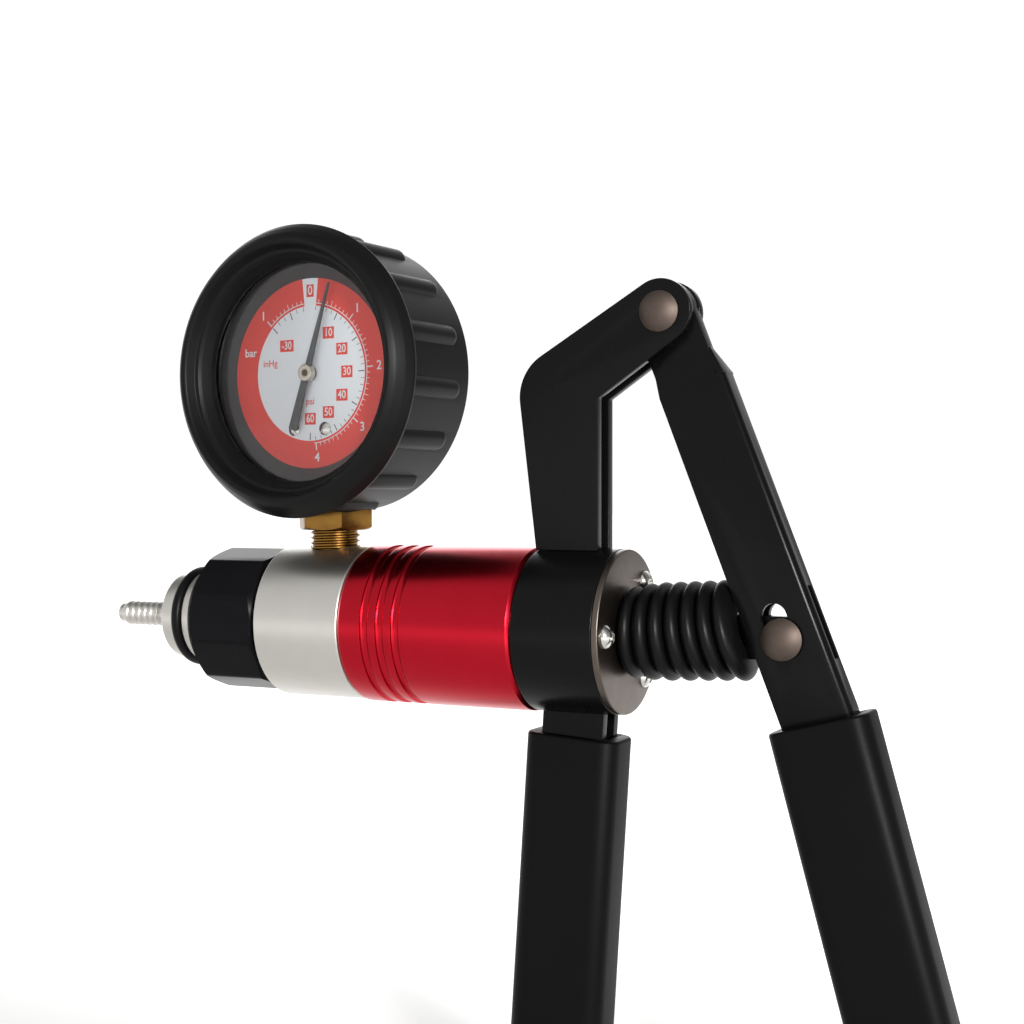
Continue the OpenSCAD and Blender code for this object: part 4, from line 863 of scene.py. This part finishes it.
for name, parts, ink in (("dial_red_print", red_parts, red_ink), ("dial_white_print", white_parts, white_ink),
                         ("dial_dark_print", dark_parts, dark_ink)):
    fit(place(joined(name, *parts), GAUGE), "pump_body", "printed_dial", ink)

ring_profile = eased([
    (10.5, 24.2), (10.5, 28.25, 0.1), (13.15, 28.25, 0.1), (13.15, 27.2, 0.2), (10.9, 24.5, 0.2)])
dial_ring = place(turned("grey_dial_ring", ring_profile, 128, bored=True), GAUGE)
fit(dial_ring, "pump_body", "grey_plastic", grey_plastic, "dial_ring")

dial_heads = []
for side in (-1, 1):
    head_of_screw = turned("dial_screw", [(-2.0, 0.8), (0.0, 0.8)] + dome(1.7, 0.9, 0.0, 6, 0.45), 32)
    cut(head_of_screw, block("slot", (-2, -0.25, 0.5), (2, 0.25, 2)))
    dial_heads.append(place(head_of_screw, GAUGE @ shift(side * 4.9, -14.2, DIAL) @ twist(35 * side, "Z")))
fit(joined("dial_screw_pair", *dial_heads), "pump_body", "zinc_plate", zinc_plate, "dial_screws")


# Pointer with its nickel hub

blade = outlined("grey_pointer", [
    (-1.3, -15.0), (1.3, -15.0), (0.95, 0), (0.22, 23.6), (-0.22, 23.6), (-0.95, 0)], 0.6)
soften(blade, 0.12)
POINTER = GAUGE @ twist(-READING, "Z")
place(blade, POINTER @ shift(0, 0, 11.7))
fit(blade, "needle", "grey_aluminium", grey_lacquer, "pointer")
hub_profile = eased([
    (11.1, 0.85), (11.1, 2.25, 0.15), (12.9, 2.25, 0.4), (12.9, 0.95, 0.1), (12.55, 0.9), (12.55, 0.85)])
hub = turned("pointer_hub", hub_profile, 48, bored=True)
fit(place(hub, POINTER), "needle", "grey_aluminium", bright_nickel)


# Window in front of the dial

pane = turned("clear_pane", eased([(13.2, 0.05), (13.2, 28.3, 0.2), (15.0, 28.3, 0.3), (15.0, 0.05)]), 128)
fit(place(pane, GAUGE), "pump_body", "clear_window", clear_window, "gauge_window")


# Rubber seals, cup and valves inside the pump

def rubber_ring(name, x0, x1, inner, outer, lip):
    """A plain ring with rounded edges."""
    return turned(name, eased([(x0, inner, lip), (x0, outer, lip), (x1, outer, lip), (x1, inner, lip)], closed=True),
                  64, bored=True)


def from_box(node):
    """Where a CAD node starts and ends along the pump."""
    low_corner, high_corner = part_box(node)
    return low_corner.x / MM, high_corner.x / MM


x0, x1 = from_box("head_seal")
fit(place(rubber_ring("flat_head_seal", x0, x1, 14.2, 16.4, 0.2), PUMP), "pump_body", "black_rubber", black_rubber,
    "head_seal")
x0, x1 = from_box("rod_seal")
fit(place(rubber_ring("rod_lip_seal", x0, x1, 4.05, 7.0, 0.5), PUMP), "pump_body", "black_rubber", black_rubber,
    "rod_seal")
x0, x1 = from_box("piston_cup")
cup = turned("piston_cup_seal", eased([
    (x0, 11.05, 0.2), (x0, 13.5, 0.3), (x0 + 1.0, 13.95, 0.5), (x0 + 1.9, 13.4, 0.5), (x1 - 1.9, 13.4, 0.5),
    (x1 - 1.0, 13.95, 0.5), (x1, 13.5, 0.3), (x1, 11.05, 0.2)], closed=True), 64, bored=True)
fit(place(cup, PUMP), "rod", "black_rubber", black_rubber, "piston_cup")


def umbrella(name):
    """A rubber umbrella valve on a plate 2.2 mm thick: thin domed disc, stem and bulb."""
    return turned(name, eased([
        (-4.36, 0.3), (-4.3, 0.7, 0.2), (-3.4, 1.42, 0.4), (-2.3, 1.3, 0.3), (-2.2, 1.15), (-0.1, 1.15, 0.1),
        (0.02, 3.95, 0.1), (0.12, 4.0, 0.05), (0.7, 2.4, 1.5), (0.98, 0.3)]), 48)


low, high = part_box("valve_plate")
inlet = place(umbrella("inlet_umbrella"), shift(high.x / MM + 0.05, 0, 5.6) @ twist(90, "Y"))
fit(inlet, "pump_body", "valve_rubber", valve_rubber, "inlet_valve")
outlet = place(umbrella("outlet_umbrella"), shift(low.x / MM - 0.05, 0, -5.6) @ twist(-90, "Y"))
fit(outlet, "pump_body", "valve_rubber", valve_rubber, "outlet_valve")


# Hard pieces that stay as the CAD made them

for finish, names in (
    (spring_steel, ("spool_clip",)),
    # The piston rod's near-black steel is painted shade
    (rod_steel_painted_dark, ("piston_rod",)),
    (satin_aluminium, ("valve_plate",)),
    (brass, ("rod_bush", "bourdon_tube", "movement_frame", "sector_gear", "tip_link", "pinion_arbor")),
    (acetal, ("piston",)),
    (zinc_plate, ("piston_nut", "spring_seat")),
    (black_enamel, ("gauge_case",)),
):
    for name in names:
        nodes[name].data.materials.clear()
        nodes[name].data.materials.append(finish)


# Floor, room and light

bpy.ops.object.select_all(action="DESELECT")
bpy.ops.mesh.primitive_plane_add(size=30, location=(0, 0, cad_box[0][2] - 0.0005))
floor = bpy.context.object
floor.name = "pale_floor"

# White paper that glows softly away from the pump and behind it, with painted shade: its glow drops almost to nothing
# under and in front of the pump, so the floor there reads as shaded and shows dark in the metal's lower reflections
pale, tree, shader = finish_of("pale_paper_painted_shade", Base_Color=linear("#F4F4F3"), Roughness=0.9,
                               Emission_Color=linear("#FFFFFF"))
spread = add(tree, "ShaderNodeTexCoord").outputs["Object"]
away = add(tree, "ShaderNodeVectorMath", {"operation": "LENGTH"}, {0: spread})
behind = add(tree, "ShaderNodeSeparateXYZ", {}, {"Vector": spread})
# Painted shade: the glow falls to 0.04 in front of the pump and under it, and is full behind it
near = add(tree, "ShaderNodeMapRange", {"From Min": -0.02, "From Max": 0.16, "To Min": 0.04, "To Max": 0.75},
           {"Value": behind.outputs["Y"]})
# Painted shade: within 0.3 m of the pump the glow keeps the value above, and it rises to full strength by 0.9 m away
glow_with_painted_shade = add(tree, "ShaderNodeMapRange", {"From Min": 0.3, "From Max": 0.9, "To Max": 0.75},
           {"Value": away.outputs["Value"], "To Min": near.outputs["Result"]})
tree.links.new(glow_with_painted_shade.outputs["Result"], shader.inputs["Emission Strength"])
floor.data.materials.append(pale)


def softbox(name, at, aim, width, height, power):
    """A soft lamp that faces a point."""
    lamp = bpy.data.lights.new(name, "AREA")
    lamp.shape = "RECTANGLE"
    lamp.size, lamp.size_y, lamp.energy = width, height, power
    light = bpy.data.objects.new(name, lamp)
    light.location = at
    light.rotation_euler = (Vector(aim) - Vector(at)).to_track_quat("-Z", "Y").to_euler()
    bpy.context.scene.collection.objects.link(light)


softbox("key_box", (1.2, -1.0, 0.35), (0.1, 0, 0.03), 0.25, 0.25, 26)
softbox("back_box", (-0.7, 1.6, 0.6), (0.1, 0, 0.05), 1.2, 0.9, 7)

# A white room that is darker at the right and overhead, so that round metal shows dark bands
room = bpy.data.worlds.new("white_room")
room.use_nodes = True
bpy.context.scene.world = room
tree = room.node_tree
towards = add(tree, "ShaderNodeTexCoord").outputs["Generated"]
split = add(tree, "ShaderNodeSeparateXYZ", {}, {"Vector": towards})
walls = add(tree, "ShaderNodeMapRange", {"From Min": -0.2, "From Max": 0.4, "To Min": 0.82, "To Max": 1.05},
            {"Value": split.outputs["Y"]})
right = add(tree, "ShaderNodeMapRange", {"From Min": 0.02, "From Max": 0.3, "To Max": 0.32},
            {"Value": split.outputs["X"], "To Min": walls.outputs["Result"]})
ceiling = add(tree, "ShaderNodeMapRange", {"From Min": -0.4, "From Max": -0.14, "To Min": 0.75, "To Max": 0.2},
              {"Value": split.outputs["Y"]})
far_ceiling = add(tree, "ShaderNodeMapRange", {"From Min": 0.4, "From Max": 0.8, "To Max": 1.0},
                  {"Value": split.outputs["Y"], "To Min": ceiling.outputs["Result"]})
height = add(tree, "ShaderNodeMapRange", {"From Min": 0.35, "From Max": 0.6},
             {"Value": split.outputs["Z"], "To Min": right.outputs["Result"], "To Max": far_ceiling.outputs["Result"]})
tree.links.new(height.outputs["Result"], tree.nodes["Background"].inputs["Strength"])
tree.nodes["Background"].inputs["Color"].default_value = (1, 1, 1, 1)
bpy.context.scene.view_settings.view_transform = "Standard"
